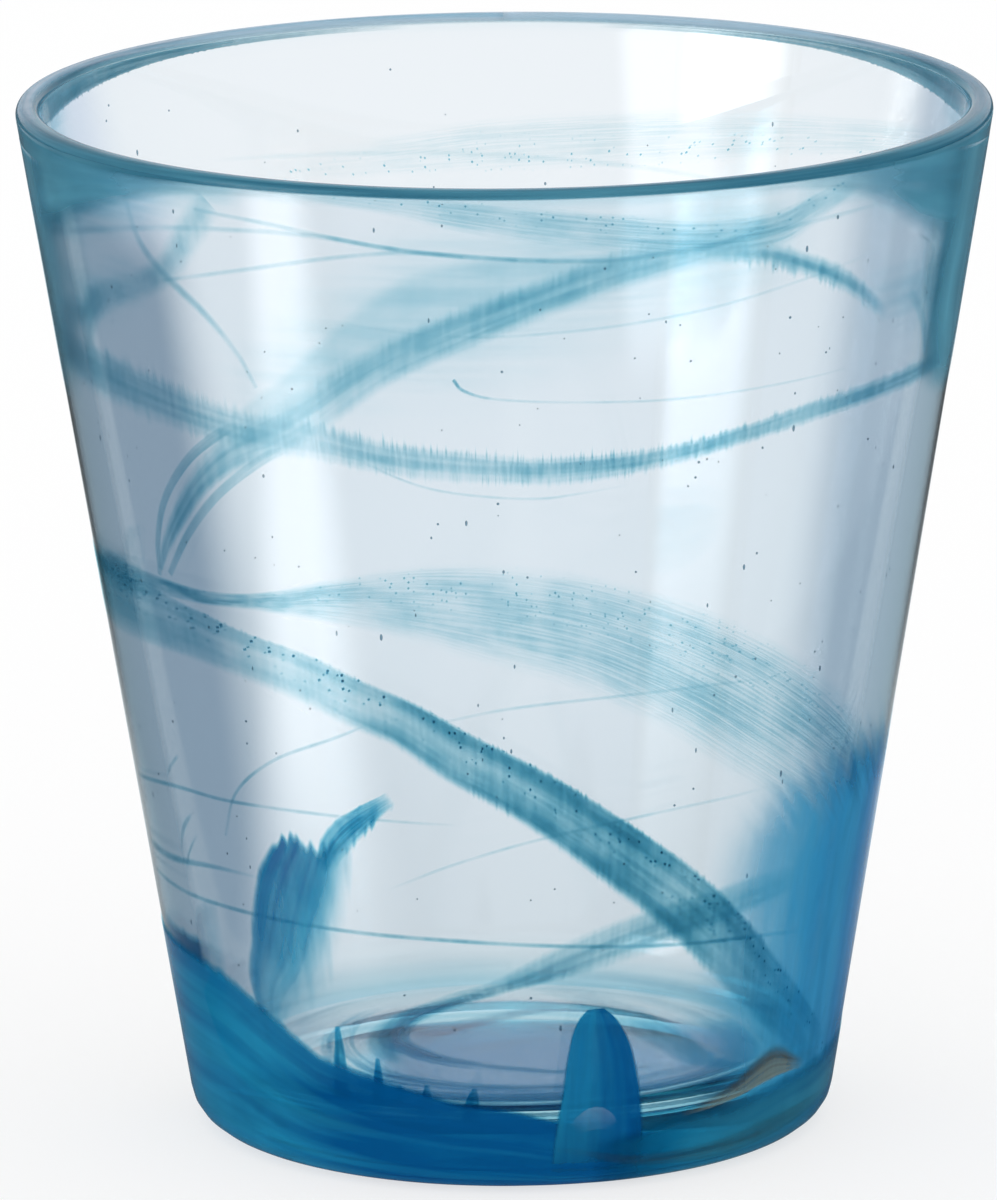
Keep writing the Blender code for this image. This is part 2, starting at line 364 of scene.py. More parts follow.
def add_trail(body, name, surface, kind, look, points, seed, nodes=(), depth=0.0):
    """depth is in mm into the glass, and less than 0 out of it."""
    bm = trail_mesh(body, surface, points, depth * MM)
    colours = bpy.context.scene.tumbler_colours
    glass = [getattr(colours, kind + end) for end in ("", "_pale", "_deep")]
    half_width = max(point[2] for point in points) / 2
    material = trail_material(f"{name}_glass", glass, look, half_width, seed)
    return add_piece(name, bm, material, nodes)


# Materials

GLASS_IOR = 1.5
WALL_RADIUS = 40.0  # mm, middling: a turn times this is mm round the wall
MOST_COVER = 0.97  # of the light, stopped by the densest glass
FACE_TINT = 0.5  # of a trail's tint at each of its two faces
LIT_THROUGH = 0.5  # of a dense trail's colour, shown when lit from behind
DENSE_ROUGHNESS = 0.04
DENSE_SPECULAR = 0.1
NOISE_RANGE = 0.3, 0.7  # where most of a noise lies
STRAND_RANGE = 0.36, 0.62
DRAG_RANGE = 0.35, 0.65
SPIKE_RANGE = 0.45, 0.75
SPIKE_NOTCH = -0.2  # of a spike's length, cut in between the spikes
WAVE_RANGE = 0.3, 0.65
# Each pattern in a trail draws its own noise, this far from the trail's seed
STRAND_SEED, TOP_SEED, DRAG_SEED, CLOUD_SEED, TONE_SEED = 7, 11, 13, 19, 29
BLACK = (0.0, 0.0, 0.0, 1.0)
WHITE = (1.0, 1.0, 1.0, 1.0)


class Wiring:
    """Adds nodes to one tree. An input is a plain value or another node's output."""

    def __init__(self, tree):
        self.tree = tree
        tree.nodes.clear()

    def node(self, kind, inputs=None, **settings):
        made = self.tree.nodes.new(kind)
        for name, value in settings.items():
            setattr(made, name, value)
        for socket, value in (inputs or {}).items():
            if isinstance(value, NodeSocket):
                self.tree.links.new(value, made.inputs[socket])
            else:
                made.inputs[socket].default_value = value
        return made

    def value(self, kind, inputs=None, socket=0, **settings):
        """An output of a new node."""
        return self.node(kind, inputs, **settings).outputs[socket]

    def math(self, operation, *values, clamp=False):
        return self.value("ShaderNodeMath", dict(enumerate(values)), operation=operation, use_clamp=clamp)

    def product(self, first, *others):
        for other in others:
            first = self.math("MULTIPLY", first, other)
        return first

    def ease(self, value, start, end, low=0.0, high=1.0):
        """A smooth step from low at start to high at end."""
        inputs = {"Value": value, "From Min": start, "From Max": end, "To Min": low, "To Max": high}
        return self.value("ShaderNodeMapRange", inputs, interpolation_type="SMOOTHSTEP")

    def vector(self, x, y, z=0.0):
        return self.value("ShaderNodeCombineXYZ", {"X": x, "Y": y, "Z": z})

    def split(self, vector):
        return self.node("ShaderNodeSeparateXYZ", {"Vector": vector}).outputs

    def place(self, coordinates="Object"):
        """X, Y and Z of a place."""
        return self.split(self.value("ShaderNodeTexCoord", socket=coordinates))

    def turn(self, x, y):
        """Turn about the upright axis, 0 at the front, in radians."""
        return self.math("ARCTAN2", x, self.product(y, -1.0))

    def attribute(self, name):
        return self.value("ShaderNodeAttribute", socket="Fac", attribute_name=name)

    def noise(self, x, y, z=0.0, detail=2.0):
        inputs = {"Vector": self.vector(x, y, z), "Scale": 1.0, "Detail": detail}
        return self.value("ShaderNodeTexNoise", inputs)

    def layer(self, colour, amount):
        """What an amount of a colour of glass lets by."""
        return self.value("ShaderNodeGamma", {"Color": (*colour, 1.0), "Gamma": amount})

    def mix(self, factor, a, b, blend="MIX"):
        inputs = {"Factor": factor, 6: a, 7: b}
        return self.value("ShaderNodeMix", inputs, socket=2, data_type="RGBA", blend_type=blend)

    def times(self, a, b):
        return self.mix(1.0, a, b, "MULTIPLY")

    def glow(self, colour, strength):
        return self.value("ShaderNodeEmission", {"Color": colour, "Strength": strength})

    def mix_shader(self, factor, a, b):
        return self.value("ShaderNodeMixShader", {0: factor, 1: a, 2: b})

    def add_shader(self, a, b):
        return self.value("ShaderNodeAddShader", {0: a, 1: b})

    def output(self, surface, volume=None, kind="ShaderNodeOutputMaterial"):
        made = self.node(kind, {"Surface": surface})
        if volume:
            self.tree.links.new(volume, made.inputs["Volume"])


def new_material(name):
    made = bpy.data.materials.new(name)
    made.use_nodes = True
    return made, Wiring(made.node_tree)


def body_material(colours):
    """Polished clear glass with haze that its attributes place."""
    made, w = new_material("clear_glass")
    x, y, z = w.place()
    turn = w.turn(x, y)
    rows = w.noise(w.product(turn, 2.2), w.product(z, 620.0), 3.0, 3.0)
    cloud = w.noise(w.product(turn, 3.0), w.product(z, 70.0), 9.0, 2.0)
    streaky = w.product(w.ease(rows, 0.3, 0.7, 0.55, 1.3), w.ease(cloud, 0.25, 0.75, 0.6, 1.35))
    teal = w.math("ADD", w.product(w.attribute("teal_haze"), streaky), w.attribute("rim_tint"))
    tint = w.times(w.layer(colours.teal, teal), w.layer(colours.blue, w.attribute("blue_haze")))
    tint = w.times(tint, w.layer(colours.lilac, w.attribute("floor_tint")))
    glass = w.value("ShaderNodeBsdfPrincipled", {
        "Base Color": w.times(tint, (*colours.clear, 1.0)), "Roughness": 0.0, "IOR": GLASS_IOR,
        "Transmission Weight": 1.0})
    depth = w.value("ShaderNodeVolumeAbsorption", {
        "Color": (*colours.body_tint, 1.0), "Density": colours.tint_density})
    w.output(glass, depth)
    return made


PLAIN = {
    "density": 1.0,  # of the colour that light takes on in passing
    "solid": 0.0,  # how much of the light it stops
    "band": (0.9, 0.9), "feather": (0.6, 0.6),  # extent and softness of the lower and the upper side
    "spikes": (0.0, 0.0), "spike_rate": 3.2,  # length of the spikes beyond each side, and how many to the mm
    "top": None,  # height in mm where it ends, the length of the ragged end, and how long it fades
    "slant": 0.0,  # how much the ragged end leans to the right
    "hollow": 0.0,  # how much paler the middle is
    "tilt": 0.0,  # how much denser the lower side is than the middle
    "strands": 0.3, "strand_rate": 0.8,  # threads along it, and how many to the mm
    "strand_length": 33.0,  # mm
    "drag": 0.2, "drag_rate": 1.2,  # marks drawn straight up and down the wall
    "cloud": 0.3, "cloud_rate": 0.12,  # slow change along it
    "specks": 0.0, "speck_rate": 0.9,  # dark specks towards its upper side
    "deep": (0.1, 0.8),  # least and most of the deep colour
    "deep_side": (0.0, 0.0),  # more of it at the lower and the upper side
    "deep_turn": None,  # two turns, and more of it at each
}
LOOKS = {
    "loop": dict(
        density=1.35, solid=0.15, band=(0.85, 0.85), feather=(0.7, 0.75), spikes=(0.05, 0.12), strands=0.45,
        strand_rate=0.7, drag=0.25),
    "tail": dict(
        density=1.1, solid=0.2, band=(0.95, 0.95), feather=(0.4, 0.4), strands=0.45, strand_rate=1.4,
        drag=0.15),
    "curl": dict(
        density=1.3, solid=0.15, band=(0.7, 0.6), spikes=(0.4, 0.15), strands=0.4, drag=0.35,
        drag_rate=1.6),
    "ring": dict(
        density=1.15, solid=0.1, band=(0.75, 0.6), feather=(0.6, 0.5), spikes=(0.2, 0.35), spike_rate=6,
        strands=0.35, drag=0.35, drag_rate=2.4),
    "diagonal": dict(
        density=1.2, solid=0.15, band=(0.84, 0.88), feather=(0.4, 0.18), spikes=(0.07, 0.07), hollow=0.35,
        strands=0.35, strand_rate=0.6, drag=0.18, drag_rate=1.4, specks=3, speck_rate=1.9),
    "wisp": dict(
        density=0.85, solid=0.08, band=(0.95, 0.95), feather=(0.7, 0.5), strands=0.6, strand_rate=5,
        strand_length=10, drag=0.1, cloud=0.5, cloud_rate=0.16, specks=1, speck_rate=2.3),
    "veil": dict(
        band=(1, 1), feather=(0.35, 0.45), strands=0.15, strand_rate=0.4, drag=0.1, cloud=0.2),
    "pool": dict(
        density=0.35, solid=1, band=(1, 1), feather=(0.5, 0.55), spike_rate=0.45, slant=1, top=(37.5, 3, 8),
        deep=(0, 0.35), deep_side=(1.1, -0.3), strands=0.12, strand_rate=0.2, drag=0.1, drag_rate=0.6,
        cloud=0.12),
    "tuft": dict(
        density=0.6, solid=0.85, band=(0.98, 0.98), feather=(0.9, 0.2), spikes=(0.15, 0.05), spike_rate=0.6,
        top=(34.2, 1.6, 1.4), tilt=-0.35, deep=(0.1, 0.7), deep_side=(-0.5, 0.5), strands=0.25,
        strand_rate=0.7, drag=0.15, drag_rate=0.9, cloud=0.2),
    "brush": dict(
        density=0.8, solid=0.55, band=(0.9, 0.95), feather=(0.7, 0.3), spikes=(0.3, 0.12), spike_rate=1.3,
        deep=(0.2, 0.8), strands=0.5, strand_rate=1.8, strand_length=12),
    "sweep": dict(
        density=0.6, solid=1, band=(1, 1), feather=(0.02, 0.14), spikes=(0, 0.03), spike_rate=0.5,
        deep=(-0.25, 0.4), deep_side=(0, 0.2), deep_turn=(-50, -18, 0, 0.95), strands=0.12, strand_rate=0.4,
        drag=0, cloud=0.12),
    "heel": dict(
        density=0.6, solid=1, band=(1, 0.98), feather=(0.02, 0.4), spikes=(0, 0.06), spike_rate=0.5,
        deep=(-0.2, 0.5), deep_side=(-0.2, 0.3), deep_turn=(18, 46, 0.85, 0.15), strands=0.15,
        strand_rate=0.4, drag=0, cloud=0.12),
    "thumb": dict(
        density=0.6, solid=1, band=(0.98, 0.98), feather=(0.12, 0.12), deep=(0.4, 0.85),
        deep_side=(0.45, -0.25), strands=0.12, strand_rate=0.4, drag=0.1, cloud=0.15),
    "thread": dict(
        solid=0.15, band=(0.95, 0.95), feather=(0.9, 0.9), strands=0.1, cloud=0.5, cloud_rate=0.2),
    "swirl": dict(
        density=1.2, solid=0.5, strands=0.85, deep=(0.2, 1), drag=0, cloud=0.4),
    "well": dict(
        density=0.6, solid=0.8, feather=(0.7, 0.7), deep=(0.2, 1), strands=0.5, strand_rate=0.6, drag=0),
    "lip": dict(
        density=0.5, solid=1, band=(0.98, 0.98), feather=(0.15, 0.2), strands=0.2, strand_rate=1.6, drag=0,
        cloud=0.2, cloud_rate=0.05, deep=(0.4, 1)),
    "shine": dict(
        density=0.3, solid=1, band=(0.95, 0.95), feather=(0.4, 0.4), strands=0.2, strand_rate=1.2, drag=0,
        cloud=0.15, deep=(0.15, 0.75)),
    "wedge": dict(
        density=0.4, solid=1, band=(0.95, 1), feather=(0.8, 0.04), strands=0.15, strand_rate=0.3, drag=0,
        cloud=0.15, deep=(0.15, 0.65)),
    "edge": dict(
        density=0.3, solid=1, band=(0.95, 0.98), feather=(0.51, 0.65), strands=0.15, strand_rate=0.3,
        drag=0, cloud=0.1, deep=(-0.1, 0.3)),
    "smear": dict(
        density=0.5, solid=0.85, band=(0.95, 0.95), feather=(0.2, 0.8), deep=(0.1, 0.9),
        deep_side=(-0.7, 0.9), strands=0.25, strand_rate=1.5, strand_length=12, drag=0.1, cloud=0.2),
    "crescent": dict(
        density=0.5, solid=1, band=(0.75, 1), feather=(0.2, 0.04), spikes=(0.25, 0), spike_rate=2.2,
        drag=0.1, cloud=0.15, deep=(0.2, 0.8)),
}


def trail_sides(w, look, side, round_mm, up_mm, comb_place, seed):
    """1 in the middle and 0 beyond the sides, which may be soft or drawn out in spikes."""
    edges = []
    for n, facing in enumerate((w.product(side, -1.0), side)):
        band, feather, spikes = look["band"][n], look["feather"][n], look["spikes"][n]
        if spikes:
            comb = w.noise(comb_place, w.product(up_mm, 0.06), seed + 3 * n)
            waves = w.noise(w.product(round_mm, 0.3), 0.0, seed + 3 * n + 1)
            spike = w.ease(comb, *SPIKE_RANGE, SPIKE_NOTCH * spikes, spikes)
            spike = w.product(spike, w.ease(waves, *WAVE_RANGE, 0.3, 1.0))
            facing = w.math("SUBTRACT", facing, spike)
        edges.append(w.ease(facing, band - feather, band, 1.0, 0.0))
    return w.product(*edges)


def trail_specks(w, look, side, edge, round_mm, up_mm, seed):
    """Small round specks in a part of the cells of a pattern on the wall."""
    rate = look["speck_rate"]
    cell = w.vector(w.product(round_mm, rate), w.product(up_mm, rate * 0.8), seed)
    spots = w.node("ShaderNodeTexVoronoi", {"Vector": cell, "Scale": 1.0})
    dot = w.ease(spots.outputs["Distance"], 0.1, 0.28, 1.0, 0.0)
    some = w.ease(w.split(spots.outputs["Color"])["X"], 0.55, 0.65)
    return w.product(dot, some, edge, w.ease(side, -0.2, 0.6, 0.05, 1.0), look["specks"])


def dense_glass(w, look, pale, deep, along, across, side, turn, seed):
    """Glass that shows its own colour, lit from the front and from behind."""
    rate = look["strand_rate"] * 0.8
    tone = w.noise(w.product(along, 0.025), w.product(across, rate), seed + TONE_SEED)
    tone = w.ease(tone, *NOISE_RANGE, *look["deep"])
    if any(look["deep_side"]):
        tone = w.math("ADD", tone, w.ease(side, -1.0, 1.0, *look["deep_side"]))
    if look["deep_turn"]:
        first, last, low, high = look["deep_turn"]
        tone = w.math("ADD", tone, w.ease(turn, math.radians(first), math.radians(last), low, high))
    shade = w.mix(w.math("MULTIPLY", tone, 1.0, clamp=True), (*pale, 1.0), (*deep, 1.0))
    lit = w.value("ShaderNodeBsdfPrincipled", {
        "Base Color": shade, "Roughness": DENSE_ROUGHNESS, "IOR": GLASS_IOR,
        "Specular IOR Level": DENSE_SPECULAR})
    lit_through = w.value("ShaderNodeBsdfTranslucent", {"Color": w.mix(LIT_THROUGH, BLACK, shade)})
    return w.add_shader(lit, lit_through)


def trail_material(name, glass, look, half_width, seed):
    """Coloured glass that thins out in strands, drag marks and spikes. Where there is much, it is dense."""
    through, pale, deep = glass
    look = {**PLAIN, **LOOKS[look]}
    made, w = new_material(name)
    along, side, _ = w.split(w.value("ShaderNodeUVMap", uv_map="trail"))
    across = w.product(side, half_width)
    x, y, z = w.place()
    turn = w.turn(x, y)
    round_mm, up_mm = w.product(turn, WALL_RADIUS), w.product(z, 1 / MM)
    leaning = w.math("ADD", round_mm, w.product(up_mm, look["slant"])) if look["slant"] else round_mm
    comb_place = w.product(leaning, look["spike_rate"])
    edge = trail_sides(w, look, side, round_mm, up_mm, comb_place, seed)
    lengthwise = w.product(along, 1 / look["strand_length"])
    strand = w.noise(lengthwise, w.product(across, look["strand_rate"]), seed + STRAND_SEED, 3.0)
    factors = [edge, w.ease(strand, *STRAND_RANGE, 1 - look["strands"], 1.0)]
    if look["top"]:
        height, ragged, fade = look["top"]
        comb = w.noise(comb_place, w.product(up_mm, 0.05), seed + TOP_SEED, 3.0)
        rise = w.math("SUBTRACT", up_mm, w.ease(comb, *NOISE_RANGE, -ragged / 2, ragged / 2))
        factors.append(w.ease(rise, height - fade / 2, height + fade / 2, 1.0, 0.0))
    if look["drag"]:
        mark = w.noise(w.product(round_mm, look["drag_rate"]), w.product(up_mm, 0.12), seed + DRAG_SEED)
        factors.append(w.ease(mark, *DRAG_RANGE, 1 - look["drag"], 1.0))
    cloud = w.noise(w.product(along, look["cloud_rate"]), w.product(across, 0.2), seed + CLOUD_SEED)
    factors.append(w.ease(cloud, *NOISE_RANGE, 1 - look["cloud"], 1 + look["cloud"] / 2))
    if look["hollow"]:
        factors.append(w.ease(w.math("ABSOLUTE", side), 0.15, 0.6, 1 - look["hollow"], 1.0))
    if look["tilt"]:
        factors.append(w.ease(side, -1.0, 1.0, 1 + look["tilt"], 1 - look["tilt"]))
    amount = w.product(w.attribute("amount"), *factors)
    tint = w.product(amount, look["density"])
    if look["specks"]:
        tint = w.math("ADD", tint, trail_specks(w, look, side, edge, round_mm, up_mm, seed))
    shader = w.value("ShaderNodeBsdfTransparent", {"Color": w.layer(through, w.product(tint, FACE_TINT))})
    if look["solid"]:
        dense = dense_glass(w, look, pale, deep, along, across, side, turn, seed)
        cover = w.math("MINIMUM", w.product(amount, look["solid"]), MOST_COVER)
        shader = w.mix_shader(w.product(cover, w.attribute("coloured")), shader, dense)
    w.output(shader)
    return made


# Clear body

WALL_ROWS = 96
FLOOR_ROWS = 24
HOLLOW_ROWS = 20
FILLET_ROWS = 10
MERGE = 1e-6
HAZE_SAMPLES = 24  # to a span
RIM_TINT = 0.05, 0.15  # at the back and the front of the lip
RIM_TINT_TURNS = 110.0, 50.0  # where it is as at the back, and as at the front
RIM_TINT_DEPTH = 1.9  # mm
FLOOR_NEAR = 0.05 * MM  # of its height, still the floor
FLOOR_TINT = 3.8
FLOOR_TINT_BACK = 12.0, 1.0  # mm behind the middle, where it starts and is full
FLOOR_TINT_LEFT = -16.0, -9.0  # mm to the left of the middle, the same
# Attribute, then (turn, share, width in mm, amount) along the middle of each haze
HAZES = [
    ("teal_haze", [
        (-100, 0.965, 4.5, 0.9), (-84, 0.962, 5, 1.1), (-72, 0.965, 4.5, 1.2), (-62, 0.972, 4, 1.2),
        (-52, 0.98, 3.2, 1), (-42, 0.988, 2.2, 0.6), (-34, 0.99, 1.5, 0.3)]),
    ("teal_haze", [
        (-90, 0.965, 4, 0.3), (-86, 0.92, 3.5, 0.15), (-82, 0.88, 3.5, 0.15), (-80, 0.84, 4, 0.18),
        (-82, 0.8, 4.5, 0.15), (-86, 0.76, 3.5, 0.1)]),
    ("teal_haze", [
        (-80, 0.835, 3.5, 0.18), (-70, 0.842, 3, 0.25), (-60, 0.86, 2.4, 0.28), (-52, 0.88, 2, 0.25)]),
    ("teal_haze", [
        (100, 0.965, 4.5, 0.9), (86, 0.965, 5, 1), (76, 0.97, 4.5, 1), (66, 0.975, 3.5, 0.9),
        (56, 0.975, 2.8, 1), (46, 0.978, 2, 0.6), (38, 0.98, 1.4, 0.3)]),
    ("teal_haze", [
        (90, 0.965, 4, 0.8), (84, 0.92, 3.5, 0.7), (80, 0.88, 3.5, 0.7), (78, 0.84, 4, 0.7),
        (80, 0.8, 4, 0.6), (84, 0.765, 3.5, 0.5)]),
    ("teal_haze", [
        (80, 0.85, 3.5, 0.9), (70, 0.855, 3.2, 0.7), (60, 0.86, 2.8, 0.5), (52, 0.865, 2.2, 0.2)]),
    ("teal_haze", [
        (-30, 0.8, 4, 0.2), (-15, 0.86, 5, 0.35), (0, 0.915, 6, 0.45), (15, 0.94, 5, 0.4),
        (30, 0.945, 4, 0.3)]),
    ("blue_haze", [
        (-180, 0.01, 4, 0.15), (-110, 0.01, 4, 0.2), (-70, 0.01, 4.5, 0.6), (0, 0.01, 4.5, 0.6),
        (70, 0.01, 4.5, 0.6), (110, 0.01, 4, 0.2), (180, 0.01, 4, 0.15)]),
]


def haze_amounts(body, places, points):
    """Soft amounts round a line on the outside of the wall."""
    spans = len(points) - 1
    samples = HAZE_SAMPLES * spans
    line = [along_trail(points, spans * i / (samples - 1)) for i in range(samples)]
    turns = np.degrees(np.arctan2(places[:, 0], -places[:, 1]))
    radii = np.hypot(places[:, 0], places[:, 1])
    most = np.zeros(len(places))
    for turn, share, width, amount in line:
        aside = np.radians((turns - turn + 180) % 360 - 180) * radii
        above = places[:, 2] - share * body.sizes.height
        most = np.maximum(most, amount * np.exp(-(aside**2 + above**2) / (width * MM) ** 2))
    return most


def smooth(values, start, end):
    t = np.clip((values - start) / (end - start), 0.0, 1.0)
    return t * t * (3 - 2 * t)


def body_mesh(body):
    """Half section with its corners rounded, spun round the axis."""
    s = body.sizes
    outwards = math.tan((math.pi / 2 - body.lean) / 2)
    inwards = math.tan((math.pi / 2 - body.inner_lean) / 2)
    corners = [
        ((0.0, s.floor), 0.0),
        ((body.inner_radius(s.floor), s.floor), s.well_fillet * inwards),
        ((body.inner_radius(s.height), s.height), s.lip_fillet * inwards),
        ((s.rim_radius, s.height), s.lip_fillet * math.tan((math.pi / 2 + body.lean) / 2)),
        ((s.foot_radius, 0.0), s.heel_fillet * outwards),
    ]
    hollow = s.recess_radius + 2 * s.recess_slope
    for i in range(HOLLOW_ROWS + 1):
        t = i / HOLLOW_ROWS
        corners.append(((hollow * (1 - t), s.recess_depth * t * (2 - t)), 0.0))
    bm = bmesh.new()
    verts = [bm.verts.new((radius, 0.0, z)) for (radius, z), _ in corners]
    for pair in zip(verts, verts[1:]):
        bm.edges.new(pair)
    for (_, offset), vert in zip(corners, verts):
        if offset:
            bmesh.ops.bevel(
                bm, geom=[vert], offset=offset, offset_type="OFFSET", affect="VERTICES",
                segments=FILLET_ROWS, profile=0.5, material=-1)
    walls = [edge for edge in bm.edges if edge.calc_length() > s.height / 2]
    floors = [edge for edge in bm.edges if s.height / 10 < edge.calc_length() < s.height / 2]
    bmesh.ops.subdivide_edges(bm, edges=walls, cuts=WALL_ROWS)
    bmesh.ops.subdivide_edges(bm, edges=floors, cuts=FLOOR_ROWS)
    bmesh.ops.spin(
        bm, geom=bm.verts[:] + bm.edges[:], cent=(0, 0, 0), axis=(0, 0, 1), angle=2 * math.pi,
        steps=s.turn_steps, use_merge=True)
    bmesh.ops.remove_doubles(bm, verts=bm.verts, dist=MERGE)
    bmesh.ops.recalc_face_normals(bm, faces=bm.faces)
    return bm


@addon_class
class TUMBLER_OT_clear_body(Operator):
    """Turn the clear glass body and lay the haze in its wall"""

    bl_idname = "tumbler.clear_body"
    bl_label = "Clear Body"

    def execute(self, context):
        body = Body(context.scene.tumbler_sizes)
        colours = context.scene.tumbler_colours
        glass = body_material(colours)
        piece = add_piece("tumbler_glass", body_mesh(body), glass, ["tumbler_body"])
        mesh = piece.data
        places = np.empty(len(mesh.vertices) * 3)
        mesh.vertices.foreach_get("co", places)
        places = places.reshape(-1, 3)
        x, y, z = places.T
        radii = np.hypot(x, y)
        middle = np.array([(body.outer_radius(level) + body.inner_radius(level)) / 2 for level in z])
        outside = radii > middle
        amounts = {"teal_haze": np.zeros(len(places)), "blue_haze": np.zeros(len(places))}
        for kind, points in HAZES:
            amounts[kind] += haze_amounts(body, places, points) * outside
        back, front = RIM_TINT_TURNS
        facing = np.clip((back - np.abs(np.degrees(np.arctan2(x, -y)))) / (back - front), 0.0, 1.0)
        from_top = (body.sizes.height - z) / MM
        least, most = RIM_TINT
        near_top = np.clip(RIM_TINT_DEPTH - from_top, 0.0, 1.0)
        amounts["rim_tint"] = (least + (most - least) * facing) * near_top
        on_floor = (np.abs(z - body.sizes.floor) < FLOOR_NEAR) * (radii < middle)
        near = smooth(y / MM, *FLOOR_TINT_BACK) * smooth(x / MM, *FLOOR_TINT_LEFT)
        amounts["floor_tint"] = FLOOR_TINT * on_floor * near
        for kind, values in amounts.items():
            mesh.attributes.new(kind, "FLOAT", "POINT").data.foreach_set("value", values.astype(np.float32))
        return {"FINISHED"}


# Teal trails: (turn, share, width in mm, amount) along the middle of each

TEAL_TRAILS = [
    ("upper_loop_trail", "outer", "loop", [
        (-54.6, 0.594, 1, 0.3), (-52.6, 0.618, 2, 0.45), (-48.8, 0.652, 2.9, 0.62),
        (-43.6, 0.694, 3.8, 0.62), (-37.6, 0.729, 5.4, 0.55), (-31.1, 0.752, 6.6, 0.3),
        (-25.5, 0.776, 6.2, 0.28), (-19.9, 0.806, 5.8, 0.36), (-14, 0.834, 5.4, 0.46),
        (-7.8, 0.857, 5.4, 0.54), (-0.7, 0.881, 5.4, 0.6), (6.3, 0.902, 5.4, 0.6), (13.4, 0.92, 5.6, 0.5),
        (20.6, 0.932, 5, 0.24), (27.5, 0.943, 4.4, 0.15), (34.1, 0.955, 3.6, 0.12),
        (40.6, 0.967, 2.6, 0.08), (45.6, 0.975, 1.8, 0)]),
    ("right_shoulder_trail", "outer", "curl", [
        (24, 0.932, 2.6, 0.1), (32.2, 0.924, 4, 0.55), (37.7, 0.909, 4.2, 0.8), (42.8, 0.893, 4, 0.8),
        (47, 0.875, 3.6, 0.6), (50.5, 0.857, 3.2, 0.3), (54, 0.838, 2.4, 0)]),
    ("long_diagonal_trail", "outer", "diagonal", [
        (-104, 0.545, 4, 0), (-85.8, 0.54, 8.8, 0.42), (-62.5, 0.54, 8, 0.48), (-49.8, 0.536, 6.8, 0.58),
        (-40.1, 0.525, 6.2, 0.4), (-30.1, 0.511, 6.4, 0.38), (-22.6, 0.492, 6.4, 0.5),
        (-14.7, 0.472, 6.2, 0.85), (-7.7, 0.443, 6.8, 1), (-1.3, 0.42, 6.8, 1.1), (5.1, 0.394, 7, 1.35),
        (11.9, 0.362, 7.2, 1.6), (19.1, 0.326, 7.6, 1.6), (27, 0.286, 7.8, 1.3), (35.1, 0.24, 7.8, 1.15),
        (44.9, 0.184, 7.4, 0.75), (56.2, 0.129, 6.4, 0.45), (69.2, 0.075, 4.6, 0)]),
    ("brush_wisp_trail", "outer", "wisp", [
        (-90, 0.556, 3, 0), (-75.5, 0.562, 4.6, 0.5), (-62.4, 0.572, 3.6, 0.75), (-53.4, 0.576, 2.2, 1.2),
        (-46.4, 0.576, 1.8, 1.3), (-38.9, 0.58, 1.8, 1.1), (-31.6, 0.585, 3, 0.7),
        (-23.1, 0.592, 5.4, 0.45), (-11.7, 0.593, 9, 0.42), (-1.1, 0.584, 11.6, 0.46),
        (9.7, 0.567, 12.6, 0.48), (19.6, 0.538, 13.4, 0.5), (29.4, 0.503, 14, 0.52),
        (41.3, 0.453, 14.6, 0.52), (55.4, 0.395, 13.6, 0.4), (72.9, 0.331, 10, 0)]),
    ("upper_ring_trail", "inner", "ring", [
        (-104, 0.793, 7, 0), (-86, 0.788, 9.8, 0.7), (-76.7, 0.786, 9.6, 0.72), (-56.4, 0.773, 8.8, 0.6),
        (-44.7, 0.762, 7.6, 0.5), (-35.6, 0.754, 7, 0.35), (-25.7, 0.75, 6.6, 0.35), (-18.9, 0.742, 6, 0.5),
        (-12.3, 0.735, 5.8, 0.5), (-1.3, 0.73, 5.2, 0.55), (5.2, 0.727, 5, 0.65), (14.2, 0.73, 4.4, 0.75),
        (21.6, 0.735, 3.6, 0.75), (30.9, 0.746, 3.4, 0.75), (41.9, 0.758, 3.6, 0.75),
        (55.6, 0.766, 3.8, 0.75), (72.4, 0.77, 4, 0.7), (86, 0.778, 3.6, 0.5), (102, 0.79, 2.6, 0)]),
    ("back_sweep_trail", "lining", "loop", [
        (296, -0.092, 2.4, 0), (275, -0.085, 4, 0.5), (258, -0.078, 4.6, 0.65), (242, -0.069, 5, 0.75),
        (226, -0.055, 5.2, 0.75), (209, -0.039, 5.4, 0.75), (196, -0.015, 5.4, 0.75),
        (184, 0.016, 5.4, 0.8), (169, 0.066, 5.6, 0.8), (151, 0.108, 5.6, 0.75), (136, 0.14, 5.2, 0.65),
        (122, 0.172, 4.8, 0.5), (104, 0.212, 3, 0)]),
]
THREADS = [
    ("left_thread_upper", "inner", [
        (-96, 0.345, 0.7, 0), (-86, 0.35, 0.8, 0.7), (-64.7, 0.366, 0.7, 0.6), (-50, 0.369, 0.6, 0.5),
        (-38, 0.372, 0.55, 0.4), (-23.7, 0.373, 0.5, 0.3), (-8, 0.372, 0.4, 0)]),
    ("left_thread_lower", "inner", [
        (-98, 0.284, 0.7, 0), (-86, 0.286, 1.3, 0.9), (-71.3, 0.286, 1.2, 0.7), (-56.6, 0.295, 0.8, 0.5),
        (-44, 0.297, 0.5, 0)]),
    ("belt_thread", "inner", [
        (-100, 0.262, 0.6, 0), (-86, 0.259, 0.8, 0.7), (-67.2, 0.256, 0.7, 0.6), (-51.7, 0.257, 0.7, 0.6),
        (-26.8, 0.256, 0.65, 0.6), (-5, 0.253, 0.65, 0.6), (27.5, 0.24, 0.65, 0.6), (50, 0.23, 0.6, 0.5),
        (74, 0.208, 0.5, 0)]),
]
